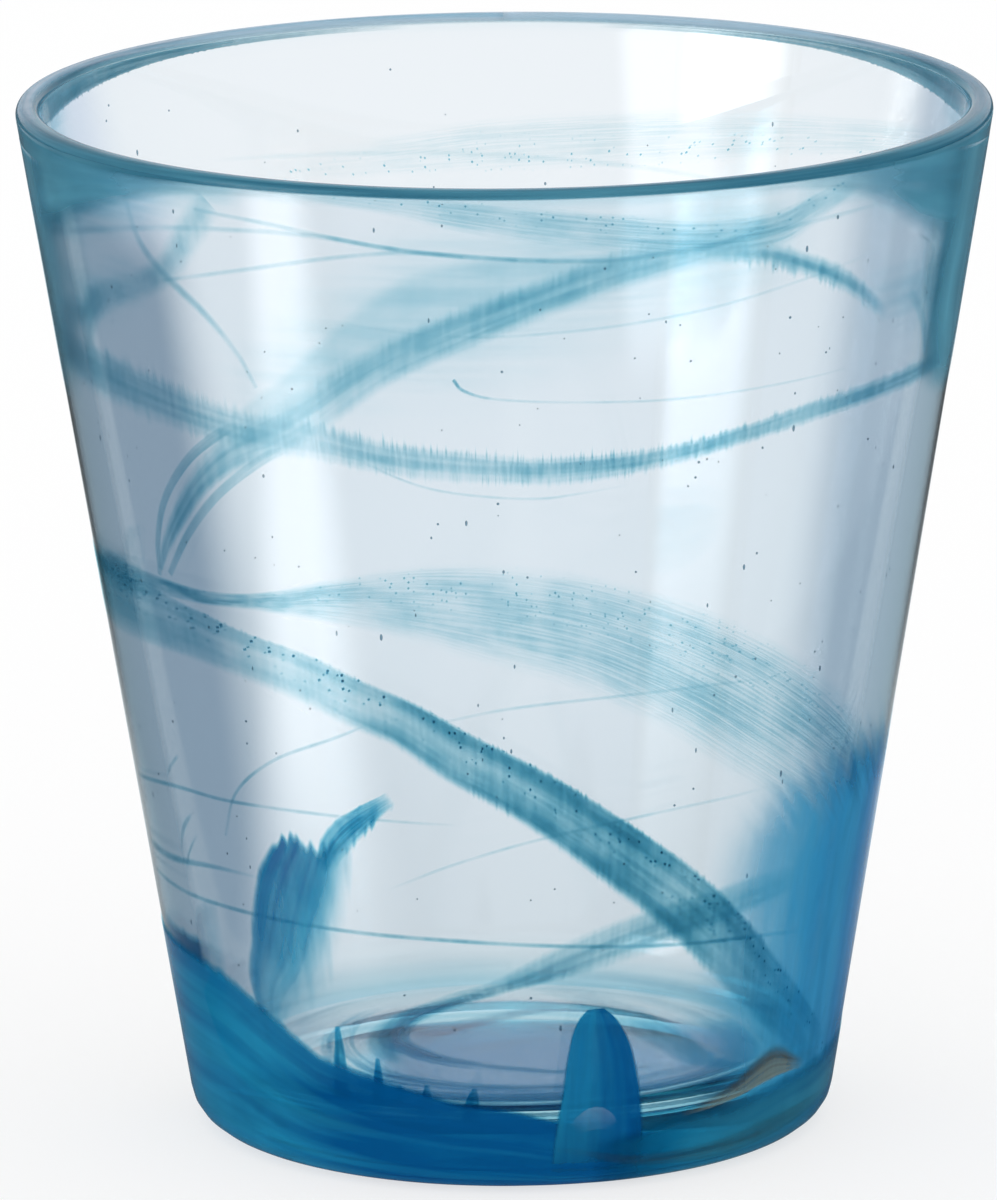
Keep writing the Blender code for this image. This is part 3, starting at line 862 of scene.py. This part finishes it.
HAIRS = [
    ("upper_veil", "outer", "veil", [
        (-38, 0.745, 2.5, 0), (-33, 0.765, 4, 0.1), (-26, 0.797, 5.4, 0.14), (-18.5, 0.843, 6.4, 0.14),
        (-10, 0.887, 7.4, 0.14), (-0.2, 0.91, 5.8, 0.14), (9.6, 0.923, 3.2, 0.1), (18, 0.93, 2, 0)]),
    ("tail_strand_left", "outer", "tail", [
        (-36, 0.756, 1, 0), (-39.6, 0.743, 1.3, 0.3), (-45.6, 0.712, 1.2, 0.5), (-51.6, 0.666, 1.1, 0.55),
        (-54.7, 0.622, 1, 0.5), (-55.6, 0.586, 0.8, 0.3)]),
    ("tail_strand_right", "outer", "tail", [
        (-29, 0.738, 1, 0), (-32.8, 0.725, 1.3, 0.2), (-40.9, 0.683, 1.2, 0.28), (-47.7, 0.636, 1.1, 0.32),
        (-53.1, 0.59, 0.9, 0.25)]),
    ("rim_streak", "outer", "wisp", [
        (-27, 0.99, 1, 0), (-14, 0.983, 2.2, 0.26), (-6, 0.975, 3.4, 0.36), (3, 0.965, 4.2, 0.4),
        (12, 0.955, 4.6, 0.42), (23, 0.944, 4.6, 0.42), (33.1, 0.944, 4.4, 0.46), (39.2, 0.96, 3.6, 0.42),
        (46, 0.98, 2, 0)]),
    ("rising_thread", "outer", "thread", [
        (-45.8, 0.887, 0.7, 0.14), (-33.9, 0.908, 0.7, 0.2), (-20.4, 0.93, 0.7, 0.22),
        (-10.4, 0.938, 0.7, 0.22), (1.3, 0.932, 0.6, 0.14)]),
    ("collar_thread", "outer", "thread", [
        (-75.4, 0.895, 1.4, 0.14), (-49.2, 0.934, 1.1, 0.16), (-33.3, 0.948, 0.8, 0.18),
        (-22.4, 0.949, 0.8, 0.24), (-12.4, 0.94, 0.8, 0.34), (1.3, 0.932, 0.8, 0.36),
        (13.3, 0.929, 0.8, 0.32), (23.1, 0.935, 1, 0.25), (36, 0.945, 0.8, 0.2), (52, 0.953, 0.8, 0)]),
    ("falling_thread", "outer", "thread", [
        (-39.1, 0.963, 0.6, 0.15), (-28.7, 0.957, 0.7, 0.22), (-16.3, 0.944, 0.7, 0.26),
        (-5, 0.934, 0.6, 0.15)]),
    ("left_fold", "outer", "thread", [
        (-51, 0.965, 1.2, 0.08), (-49.5, 0.923, 1.3, 0.28), (-46.1, 0.896, 1.5, 0.34),
        (-39.7, 0.861, 1.3, 0.32), (-35.3, 0.826, 0.9, 0.24), (-32.9, 0.794, 0.7, 0.1)]),
    ("left_fold_haze", "outer", "thread", [
        (-37, 0.97, 4, 0.2), (-41, 0.935, 4.6, 0.36), (-46.2, 0.893, 4, 0.34), (-58.8, 0.855, 4.4, 0.3),
        (-75.3, 0.809, 5.4, 0.22)]),
    ("eye_hair", "outer", "thread", [
        (-6.6, 0.814, 0.5, 0.9), (-5.2, 0.803, 0.5, 0.6), (-0.8, 0.795, 0.4, 0.2), (11.5, 0.79, 0.4, 0.18),
        (24.4, 0.788, 0.4, 0.16), (47.6, 0.793, 0.4, 0.05)]),
    ("under_ring_hair", "outer", "thread", [
        (-24, 0.748, 0.4, 0), (-16.1, 0.721, 0.4, 0.14), (-9.8, 0.706, 0.4, 0.18), (-2.2, 0.699, 0.4, 0.18),
        (4.2, 0.697, 0.4, 0.16), (8.6, 0.7, 0.4, 0.12), (16, 0.707, 0.4, 0)]),
    ("middle_hair", "outer", "thread", [
        (-24, 0.868, 0.5, 0), (-8, 0.856, 0.5, 0.1), (8, 0.86, 0.5, 0.13), (24, 0.872, 0.5, 0.13),
        (38, 0.889, 0.5, 0.1), (52, 0.905, 0.5, 0)]),
    ("low_hair", "outer", "thread", [
        (-12, 0.47, 0.5, 0), (0, 0.488, 0.5, 0.2), (14, 0.496, 0.5, 0.2), (30, 0.498, 0.5, 0.15),
        (44, 0.494, 0.5, 0)]),
    ("cross_hair", "outer", "thread", [
        (-20, 0.3, 0.5, 0), (-8, 0.332, 0.5, 0.18), (6, 0.358, 0.5, 0.22), (24, 0.376, 0.5, 0.22),
        (44, 0.384, 0.5, 0)]),
    ("low_arc", "outer", "thread", [
        (-50.1, 0.331, 0.5, 0.2), (-46.2, 0.378, 0.55, 0.4), (-37.6, 0.419, 0.55, 0.4),
        (-26.1, 0.451, 0.5, 0.35), (-20, 0.47, 0.4, 0)]),
    ("back_collar", "inner", "thread", [
        (222, 0.88, 0.8, 0), (206, 0.872, 0.8, 0.06), (190, 0.866, 0.9, 0.08), (172, 0.858, 0.9, 0.08),
        (156, 0.85, 0.8, 0.06), (140, 0.838, 0.7, 0)]),
    ("back_veil", "inner", "wisp", [
        (212, 0.862, 3, 0), (194, 0.866, 5, 0.09), (183, 0.872, 6, 0.12), (167, 0.879, 6.6, 0.13),
        (153, 0.889, 6, 0.11), (137.4, 0.902, 5, 0.1), (117.2, 0.92, 4, 0.1), (100, 0.94, 2, 0)]),
]
# Lip: the middle of each strip in mm over the rounding
LIP_LEFT = [
    (-180, 1.7, 3.5, 0.4), (-150, 1.7, 3.5, 0.45), (-128, 1.6, 3.7, 0.75), (-105, 1.5, 4, 1.1),
    (-85, 1.5, 4, 1.1), (-60, 1.5, 4, 1.1), (-40, 1.7, 3.6, 1.1), (-20, 1.8, 3.4, 1.1), (0, 1.8, 3.4, 1.1)]
LIP = LIP_LEFT + mirrored(LIP_LEFT[:-1])
# Painted sheen on the lip: most at the back and the sides, none at the front
LIP_SHINE = [
    (-180, 1.8, 3.4, 0.95), (-150, 1.8, 3.4, 0.9), (-128, 1.6, 3.2, 0.75), (-108, 1.5, 2.8, 0.65),
    (-90, 1.5, 2.4, 0.5), (-80, 1.4, 1.8, 0.35), (-68, 1.2, 1.4, 0), (0, 1, 1, 0), (68, 1.2, 1.4, 0),
    (80, 1.4, 1.8, 0.22), (90, 1.5, 2.4, 0.28), (108, 1.5, 2.8, 0.42), (128, 1.6, 3.2, 0.68),
    (150, 1.8, 3.4, 0.9), (180, 1.8, 3.4, 0.95)]
CRESCENT = [
    (-168, 0.99, 0.5, 0), (-150, 0.99, 0.6, 0.5), (-135, 0.989, 0.9, 0.8), (-122, 0.986, 1.5, 0.95),
    (-110, 0.982, 2.3, 1), (-98, 0.979, 2.8, 1), (-84, 0.984, 2, 0.8), (-70, 0.99, 0.7, 0)]
UNDER_LIP = [
    ("left_wedge", "outer", "wedge", [
        (-93, 0.973, 3.8, 0), (-88, 0.955, 7.4, 0.7), (-82, 0.942, 10.4, 1), (-74, 0.942, 10.4, 1),
        (-66, 0.951, 8.6, 0.95), (-58, 0.964, 6, 0.85), (-50, 0.974, 4, 0.6), (-42, 0.983, 2.2, 0.35),
        (-34, 0.987, 1.4, 0.15), (-26, 0.989, 1, 0)]),
    ("left_edge", "outer", "edge", [
        (-87, 0.725, 14, 0), (-86.5, 0.755, 20, 0.4), (-86, 0.8, 26, 0.42), (-86, 0.84, 28, 0.4),
        (-86, 0.88, 28, 0.55), (-86, 0.93, 28, 0.95), (-86, 0.97, 28, 0.95)]),
    ("right_wedge", "outer", "wedge", [
        (28, 0.989, 1, 0), (36, 0.987, 1.4, 0.15), (44, 0.98, 2.8, 0.35), (52, 0.966, 5.6, 0.6),
        (60, 0.949, 9, 0.9), (68, 0.938, 11.2, 1), (76, 0.932, 12.4, 1), (84, 0.936, 11.6, 1),
        (90, 0.949, 9, 0.7), (96, 0.972, 4, 0)]),
    ("right_edge", "outer", "edge", [
        (84, 0.97, 36, 0.95), (83.5, 0.93, 36, 0.95), (83.5, 0.88, 36, 0.95), (83, 0.84, 36, 0.95),
        (83.5, 0.8, 31, 0.95), (84.5, 0.77, 23, 0.7), (86, 0.735, 12, 0)]),
    ("left_crescent", "inner", "crescent", CRESCENT),
    ("right_crescent", "inner", "crescent", mirrored(CRESCENT)),
]
SEED_STEP = 31.0  # between the patterns of two trails
LIP_SEED, THREAD_SEED, HAIR_SEED, POOL_SEED, SPIKE_SEED = 900.0, 400.0, 700.0, 1100.0, 1300.0
# Depths in mm that keep strips apart where they cross
OVER_POOL = -0.03
UNDER_SHINE = 0.015
LIP_LAYER = 0.01
HAIR_DEPTH, HAIR_LAYER = 0.45, 0.08
POOL_LAYER = 0.015


@addon_class
class TUMBLER_OT_teal_trails(Operator):
    """Lay the teal trails in the wall"""

    bl_idname = "tumbler.teal_trails"
    bl_label = "Teal Trails"

    def execute(self, context):
        body = Body(context.scene.tumbler_sizes)
        for n, (name, surface, look, points) in enumerate(TEAL_TRAILS):
            depth = OVER_POOL if look == "diagonal" else 0.0
            streak = name.replace("_trail", "_streak")
            add_trail(body, streak, surface, "teal", look, points, SEED_STEP * n, [name], depth)
        return {"FINISHED"}


@addon_class
class TUMBLER_OT_lip_cast(Operator):
    """Lay the teal cast and the painted sheen round the lip, and the dense glass under it"""

    bl_idname = "tumbler.lip_cast"
    bl_label = "Lip Cast"

    def execute(self, context):
        body = Body(context.scene.tumbler_sizes)
        add_trail(body, "lip_cast", "lip", "teal", "lip", LIP, LIP_SEED, depth=UNDER_SHINE)
        add_trail(body, "lip_shine", "lip", "frost", "shine", LIP_SHINE, LIP_SEED + SEED_STEP)
        for n, (name, surface, look, points) in enumerate(UNDER_LIP):
            seed, depth = LIP_SEED + SEED_STEP * (n + 2), -LIP_LAYER * n
            add_trail(body, name, surface, "teal", look, points, seed, depth=depth)
        return {"FINISHED"}


@addon_class
class TUMBLER_OT_threads(Operator):
    """Draw the fine threads, folds and veils of the same teal glass"""

    bl_idname = "tumbler.threads"
    bl_label = "Threads"

    def execute(self, context):
        body = Body(context.scene.tumbler_sizes)
        for n, (name, surface, points) in enumerate(THREADS):
            seed = THREAD_SEED + SEED_STEP * n
            add_trail(body, f"{name}_streak", surface, "teal", "thread", points, seed, [name])
        for n, (name, surface, look, points) in enumerate(HAIRS):
            seed, depth = HAIR_SEED + SEED_STEP * n, HAIR_DEPTH + HAIR_LAYER * n
            add_trail(body, name, surface, "teal", look, points, seed, depth=depth)
        return {"FINISHED"}


# Blue pools, laid as the teal trails are

BLUE_POOLS = [
    ("right_pool", "azure", "pool", [
        (74, -0.018, 34.6, 0.85), (71, 0.04, 37.6, 0.95), (70, 0.1, 42, 1), (70, 0.17, 47.2, 1),
        (70, 0.25, 50.2, 1), (71, 0.32, 49.6, 1), (72.5, 0.38, 47.6, 0.95), (76, 0.44, 43, 0.8),
        (82, 0.52, 35, 0.5)]),
    ("left_tuft", "blue", "tuft", [
        (-44.5, 0.135, 1.6, 0.26), (-43.2, 0.16, 4.6, 0.34), (-41.6, 0.19, 8.2, 0.44),
        (-38.2, 0.22, 10.6, 0.58), (-35.2, 0.27, 11.3, 0.86), (-33.2, 0.3, 10.8, 1.05),
        (-30.9, 0.335, 9.2, 1.05), (-30, 0.37, 8.8, 1.05)]),
    ("tuft_curl", "blue", "brush", [
        (-29.6, 0.316, 2, 0), (-27.6, 0.341, 3.4, 0.9), (-25, 0.36, 3.6, 1.1), (-22.4, 0.374, 3, 1.05),
        (-20.2, 0.385, 2.4, 0.7), (-17.4, 0.398, 1.8, 0)]),
    ("base_sweep", "blue", "sweep", [
        (-106, 0.08, 21.2, 0), (-98, 0.084, 22, 0.3), (-88, 0.089, 23, 0.8), (-78, 0.089, 23, 0.95),
        (-66, 0.088, 22.8, 0.95), (-58, 0.085, 22.2, 0.95), (-52, 0.077, 20.6, 0.95),
        (-47.7, 0.07, 19.2, 0.95), (-42.3, 0.061, 17.6, 0.95), (-36.2, 0.053, 15.8, 1),
        (-28.4, 0.048, 14.6, 1), (-19.3, 0.042, 13.2, 1), (-10.6, 0.036, 11.9, 1), (-2, 0.033, 11.2, 1),
        (6.9, 0.026, 9.7, 1), (15.3, 0.021, 8.6, 1), (23, 0.018, 8, 0.8), (32, 0.016, 7.6, 0)]),
    ("base_thumb", "blue", "thumb", [
        (14.9, 0.012, 9.4, 0), (15, 0.035, 9.4, 0.8), (15.2, 0.064, 9.1, 1), (15.2, 0.1, 8.1, 1),
        (14.7, 0.136, 6.9, 1), (14.1, 0.16, 5.4, 1), (13.8, 0.175, 3.8, 1), (13.7, 0.185, 1.8, 0.9)]),
    ("heel_trail", "sea", "heel", [
        (14, 0.017, 7.8, 0), (23, 0.02, 8.3, 0.7), (30.2, 0.025, 9.6, 0.8), (40.9, 0.025, 9.6, 0.8),
        (53.6, 0.031, 10.7, 0.85), (64, 0.033, 11.1, 0.9), (78, 0.037, 12, 0.9), (98, 0.038, 12.2, 0.6),
        (120, 0.03, 10.5, 0)]),
]
BASE_SPIKES = [
    [(-30.3, 0.085, 2.2, 1), (-30.1, 0.115, 1.8, 1), (-29.9, 0.136, 1.3, 0.9), (-29.9, 0.159, 0.6, 0.5)],
    [(-23.4, 0.085, 1.6, 1), (-23.1, 0.105, 1.3, 1), (-22.9, 0.131, 0.5, 0.5)],
    [(-14.9, 0.08, 1.6, 0.9), (-14.6, 0.095, 1.2, 0.8), (-14.4, 0.108, 0.5, 0.4)],
    [(-7.2, 0.072, 2.2, 0.9), (-6.7, 0.093, 1.5, 0.8), (-6.3, 0.106, 0.5, 0.4)],
    [(-19.5, 0.085, 1.2, 0.9), (-19.3, 0.098, 0.9, 0.8), (-19.2, 0.106, 0.4, 0.3)],
]


@addon_class
class TUMBLER_OT_blue_pools(Operator):
    """Lay the deep blue pools low on the wall and round the heel"""

    bl_idname = "tumbler.blue_pools"
    bl_label = "Blue Pools"

    def execute(self, context):
        body = Body(context.scene.tumbler_sizes)
        for n, (name, kind, look, points) in enumerate(BLUE_POOLS):
            seed, depth = POOL_SEED + SEED_STEP * n, -POOL_LAYER * (n + 1)
            add_trail(body, f"{name}_streak", "outer", kind, look, points, seed, [name], depth)
        for n, points in enumerate(BASE_SPIKES):
            seed = SPIKE_SEED + SEED_STEP * n
            add_trail(body, f"base_spike_{n + 1}", "outer", "blue", "tail", points, seed)
        return {"FINISHED"}


# Floor and heel: name, surface, glass, look, seed, depth in mm, then the points
FLOOR_STRIPS = [
    ("floor_swirl_streak", "well", "lilac", "swirl", 1500, 0, [
        (-140, 0.86, 2, 0), (-110, 0.76, 4.2, 0.5), (-75, 0.68, 6, 0.6), (-35, 0.66, 7, 0.6),
        (5, 0.68, 6.6, 0.6), (45, 0.72, 5.4, 0.5), (80, 0.8, 2, 0)]),
    ("floor_hook", "well", "lilac", "swirl", 1591, -0.03, [
        (-178, 0.86, 2, 0), (-164, 0.79, 3.2, 0.7), (-145, 0.69, 3.8, 0.9), (-126, 0.58, 4, 0.95),
        (-104, 0.49, 4, 0.95), (-84, 0.385, 4, 0.95), (-50, 0.29, 3.8, 0.9), (-20, 0.27, 3.4, 0.8),
        (9, 0.31, 3.2, 0.7), (51, 0.51, 2.8, 0.5), (77, 0.74, 2.4, 0)]),
    ("well_veil", "lining", "lilac", "well", 1531, 0, [
        (-180, 0.035, 12, 0.12), (-135, 0.035, 13, 0.18), (-90, 0.04, 15, 0.35), (-45, 0.04, 15, 0.7),
        (0, 0.04, 15, 0.85), (45, 0.04, 15, 0.85), (90, 0.04, 15, 0.6), (135, 0.035, 13, 0.3),
        (180, 0.035, 12, 0.12)]),
    ("floor_smear", "outer", "olive", "smear", 1561, -0.12, [
        (30, 0.068, 0.8, 0), (36, 0.074, 1.4, 0.6), (42, 0.083, 2.4, 0.9), (47, 0.095, 3.8, 0.9),
        (51, 0.1, 4.2, 0.85), (56, 0.093, 2.4, 0.7), (61, 0.085, 1, 0)]),
    ("heel_line", "outer", "olive", "tail", 1684, -0.15, [
        (6, 0.046, 0.5, 0), (13, 0.038, 0.8, 0.2), (22.9, 0.026, 1.4, 0.45), (38.6, 0.024, 2.4, 0.5),
        (50, 0.03, 2.8, 0.45), (62, 0.036, 2, 0.3), (74, 0.04, 0.8, 0)]),
    # Painted highlight: a pale arch of light on the blue tongue, in the lip sheen colours
    ("thumb_painted_highlight", "outer", "frost", "thumb", 1746, -0.15, [
        (10.6, 0.064, 1.4, 0), (12.4, 0.07, 2.2, 0.12), (14.3, 0.074, 2.6, 0.16), (16.3, 0.07, 2, 0.11),
        (17.6, 0.064, 1, 0)]),
]


@addon_class
class TUMBLER_OT_floor_swirl(Operator):
    """Lay the pale swirl on the inside floor, the small marks by it and on the heel, and a painted highlight
    on the blue tongue
    """

    bl_idname = "tumbler.floor_swirl"
    bl_label = "Floor Swirl"

    def execute(self, context):
        body = Body(context.scene.tumbler_sizes)
        for name, surface, kind, look, seed, depth, points in FLOOR_STRIPS:
            nodes = ["floor_swirl"] if name == "floor_swirl_streak" else []
            add_trail(body, name, surface, kind, look, points, seed, nodes, depth)
        return {"FINISHED"}


# Seed bubbles

BUBBLES = 240
BUBBLE_DRAW = 12
BUBBLE_SHARES = 0.12, 0.96
BUBBLE_RADII = 0.06, 0.14  # mm
BUBBLE_LENGTHS = 1.0, 1.0, 1.0, 1.0, 1.5, 2.4  # over the width
BUBBLE_DEPTH = 1.1 * MM


@addon_class
class TUMBLER_OT_seeds(Operator):
    """Scatter the tiny seed bubbles through the wall"""

    bl_idname = "tumbler.seeds"
    bl_label = "Seed Bubbles"

    def execute(self, context):
        body = Body(context.scene.tumbler_sizes)
        draw = random.Random(BUBBLE_DRAW)
        bm = bmesh.new()
        for _ in range(BUBBLES):
            place, out = body.outer(draw.uniform(-180, 180), draw.uniform(*BUBBLE_SHARES))
            radius = draw.uniform(*BUBBLE_RADII) * MM
            stretch = Matrix.Diagonal((1.0, 1.0, draw.choice(BUBBLE_LENGTHS), 1.0))
            spot = Matrix.Translation(place - out * BUBBLE_DEPTH)
            bmesh.ops.create_icosphere(bm, subdivisions=2, radius=radius, matrix=spot @ stretch)
        made, w = new_material("seed_bubble")
        # Painted shade: each bubble is a grey filter, darker towards its rim, standing in for the light a
        # bubble bends away
        edge = w.value("ShaderNodeLayerWeight", {"Blend": 0.5}, socket="Facing")
        tint = w.layer(context.scene.tumbler_colours.seed, w.ease(edge, 0.0, 0.8, 0.4, 0.9))
        w.output(w.value("ShaderNodeBsdfTransparent", {"Color": tint}))
        add_piece("seed_bubbles", bm, made, [])
        return {"FINISHED"}


# Studio

ROOM_SIDES = (0.46, 0.50, 0.60, 1.0)
ROOM_BACK = (0.96, 0.97, 1.0, 1.0)
ROOM_TURNS = math.radians(115), math.radians(165)  # where the sides end and the back starts
TABLE_HALF = 6.0
TABLE_DROP = 0.15 * MM
TABLE_MATT = (0.32, 0.32, 0.32, 1.0)
TABLE_LIFT = 0.68
SWEEP_MIDDLE = (0.98, 0.985, 0.985, 1.0)
SWEEP_LEFT = (0.30, 0.37, 0.45, 1.0)
SWEEP_FAR_LEFT = (0.80, 0.84, 0.92, 1.0)
SWEEP_RIGHT = (0.45, 0.53, 0.61, 1.0)
SWEEP_STRIPE = (1.15, 1.15, 1.15, 1.0)
MIRRORED = (0.85, 0.95, 1.0, 1.0)
# Where each part of the sweep starts and is full, in m aside and behind
SWEEP_RISE = 0.0, 0.26
LEFT_EDGE, LEFT_SLANT = (-0.032, -0.010), 0.12
FAR_LEFT_START = 0.36, 0.42
RIGHT_EDGE, RIGHT_SLANT = (0.022, 0.046), 0.10
STRIPE_LEFT, STRIPE_RIGHT, STRIPE_START = (0.018, 0.022), (0.032, 0.038), (0.31, 0.37)
MIRRORED_SIDE, MIRRORED_RISE = (0.045, 0.10), (0.0, 0.12)
# Sheets of light: size, place and turn, and how soft the left, right, lower and upper edges are
SOFTBOX_SIZE, SOFTBOX_PLACE = (0.50, 0.7, 1.0, 1.0), (0.0, -0.8, 0.35)
SOFTBOX_TURN, SOFTBOX_EDGES = math.radians(-63), (0.3, 0.2, 0.25, 0.05)
CARD_SIZE, CARD_PLACE = (0.085, 0.26, 1.0, 1.0), (0.0, -0.17, 0.4 * MM)
CARD_TURN, CARD_EDGES = math.radians(-53), (0.4, 0.4, 0.2, 0.3)
SENSOR = 36.0  # mm
FARTHEST = 20.0  # that the camera sees
BOUNCES = 64
CLEAR_BOUNCES = 96  # through transparent faces


def studio_world():
    """White to the camera. To the glass, a white room with greyer sides."""
    world = bpy.data.worlds.new("studio")
    world.use_nodes = True
    w = Wiring(world.node_tree)
    x, y, _ = w.place("Generated")
    back = w.ease(w.math("ABSOLUTE", w.turn(x, y)), *ROOM_TURNS)
    path = w.node("ShaderNodeLightPath").outputs
    plain = w.math("MAXIMUM", path["Is Camera Ray"], path["Is Diffuse Ray"])
    light = w.mix(plain, w.mix(back, ROOM_SIDES, ROOM_BACK), WHITE)
    w.output(w.value("ShaderNodeBackground", {"Color": light, "Strength": 1.0}), kind="ShaderNodeOutputWorld")
    return world


def studio_floor():
    """Pale table that keeps the shadow. Through the glass it is a bright sweep with greyer sides."""
    bm = bmesh.new()
    bmesh.ops.create_grid(bm, x_segments=1, y_segments=1, size=TABLE_HALF)
    bmesh.ops.translate(bm, verts=bm.verts, vec=(0.0, 0.0, -TABLE_DROP))
    made, w = new_material("table_white")
    aside, behind, _ = w.place()
    sweep = w.mix(w.ease(behind, *SWEEP_RISE, 0.85, 1.0), BLACK, SWEEP_MIDDLE)
    left_edge = w.math("ADD", aside, w.product(behind, LEFT_SLANT))
    left = w.mix(w.ease(behind, *FAR_LEFT_START), SWEEP_LEFT, SWEEP_FAR_LEFT)
    sweep = w.mix(w.ease(left_edge, *LEFT_EDGE), left, sweep)
    right_edge = w.math("SUBTRACT", aside, w.product(behind, RIGHT_SLANT))
    sweep = w.mix(w.ease(right_edge, *RIGHT_EDGE), sweep, SWEEP_RIGHT)
    stripe = w.product(w.ease(aside, *STRIPE_LEFT), w.ease(aside, *STRIPE_RIGHT, 1.0, 0.0))
    sweep = w.mix(w.product(stripe, w.ease(behind, *STRIPE_START)), sweep, SWEEP_STRIPE)
    path = w.node("ShaderNodeLightPath").outputs
    near = w.ease(w.math("ABSOLUTE", aside), *MIRRORED_SIDE, 0.8, 0.12)
    mirrored = w.glow(MIRRORED, w.product(near, w.ease(behind, *MIRRORED_RISE, 0.15, 1.0)))
    in_glass = w.mix_shader(path["Is Transmission Ray"], mirrored, w.glow(sweep, 1.0))
    plain = w.add_shader(w.value("ShaderNodeBsdfDiffuse", {"Color": TABLE_MATT}), w.glow(WHITE, TABLE_LIFT))
    to_glass = w.math("MAXIMUM", path["Is Glossy Ray"], path["Is Transmission Ray"])
    w.output(w.mix_shader(to_glass, plain, in_glass))
    table = add_object("table", bm, made)


def studio_light(name, spot, soft, strength):
    """A sheet of light, softer at its left, right, lower and upper side. Only the glass sees it."""
    bm = bmesh.new()
    bm.loops.layers.uv.new("sheet")
    bmesh.ops.create_grid(bm, x_segments=1, y_segments=1, size=0.5, matrix=spot, calc_uvs=True)
    made, w = new_material(f"{name}_light")
    across, up, _ = w.split(w.value("ShaderNodeUVMap", uv_map="sheet"))
    left, right, low, high = soft
    lit = w.product(
        w.ease(across, 0.0, left), w.ease(across, 1 - right, 1.0, 1.0, 0.0), w.ease(up, 0.0, low),
        w.ease(up, 1 - high, 1.0, strength, 0.0))
    w.output(w.glow(WHITE, lit))
    sheet = add_object(name, bm, made)
    sheet.visible_camera = sheet.visible_diffuse = sheet.visible_shadow = False
    return sheet


def studio_lights(studio):
    """An upright softbox at the left, and a low card there that shows in the outside of the wall alone."""
    upright = Matrix.Rotation(math.pi / 2, 4, "X") @ Matrix.Diagonal(SOFTBOX_SIZE)
    spot = Matrix.Rotation(SOFTBOX_TURN, 4, "Z") @ Matrix.Translation(SOFTBOX_PLACE) @ upright
    studio_light("softbox", spot, SOFTBOX_EDGES, studio.softbox)
    flat = Matrix.Translation(CARD_PLACE) @ Matrix.Diagonal(CARD_SIZE)
    spot = Matrix.Rotation(CARD_TURN, 4, "Z") @ flat
    card = studio_light("card", spot, CARD_EDGES, studio.card)
    card.visible_transmission = False


def studio_camera(studio, middle):
    data = bpy.data.cameras.new("camera")
    data.sensor_width = SENSOR
    data.lens = studio.lens
    data.clip_end = FARTHEST
    camera = bpy.data.objects.new("camera", data)
    bpy.context.scene.collection.objects.link(camera)
    sine, cosine = math.sin(studio.elevation), math.cos(studio.elevation)
    right, up, back = Vector((1, 0, 0)), Vector((0, sine, cosine)), Vector((0, -cosine, sine))
    place = middle + back * studio.distance - right * studio.aside + up * studio.above
    turned = Matrix((right, up, back)).transposed().to_4x4()
    camera.matrix_world = Matrix.Translation(place) @ turned @ Matrix.Rotation(studio.roll, 4, "Z")
    bpy.context.scene.camera = camera


@addon_class
class TUMBLER_OT_studio(Operator):
    """Set the table, the light and the camera"""

    bl_idname = "tumbler.studio"
    bl_label = "Studio"

    def execute(self, context):
        scene = context.scene
        studio = scene.tumbler_studio
        scene.world = studio_world()
        studio_floor()
        studio_lights(studio)
        studio_camera(studio, UP * scene.tumbler_sizes.height / 2)
        scene.view_settings.view_transform = "Standard"
        cycles = scene.cycles
        cycles.max_bounces = cycles.glossy_bounces = cycles.transmission_bounces = BOUNCES
        cycles.transparent_max_bounces = CLEAR_BOUNCES
        return {"FINISHED"}


# Add-on

STEPS = ("clear_body", "teal_trails", "lip_cast", "threads", "blue_pools", "floor_swirl", "seeds", "studio")
GROUPS = {"tumbler_sizes": TumblerSizes, "tumbler_colours": TumblerColours, "tumbler_studio": TumblerStudio}


@addon_class
class TUMBLER_PT_sidebar(Panel):
    """Steps that build the tumbler"""

    bl_label = "Streaked Tumbler"
    bl_space_type = "VIEW_3D"
    bl_region_type = "UI"
    bl_category = "Tumbler"

    def draw(self, context):
        for group in GROUPS:
            settings = getattr(context.scene, group)
            box = self.layout.box()
            for name in settings.bl_rna.properties.keys():
                if name not in ("rna_type", "name"):
                    box.prop(settings, name)
        for step in STEPS:
            self.layout.operator(f"tumbler.{step}")


def register():
    for made in CLASSES:
        bpy.utils.register_class(made)
    for name, group in GROUPS.items():
        setattr(bpy.types.Scene, name, PointerProperty(type=group))


def unregister():
    for name in GROUPS:
        delattr(bpy.types.Scene, name)
    for made in reversed(CLASSES):
        bpy.utils.unregister_class(made)


def main():
    register()
    for step in STEPS:
        getattr(bpy.ops.tumbler, step)()


if __name__ == "__main__":
    main()
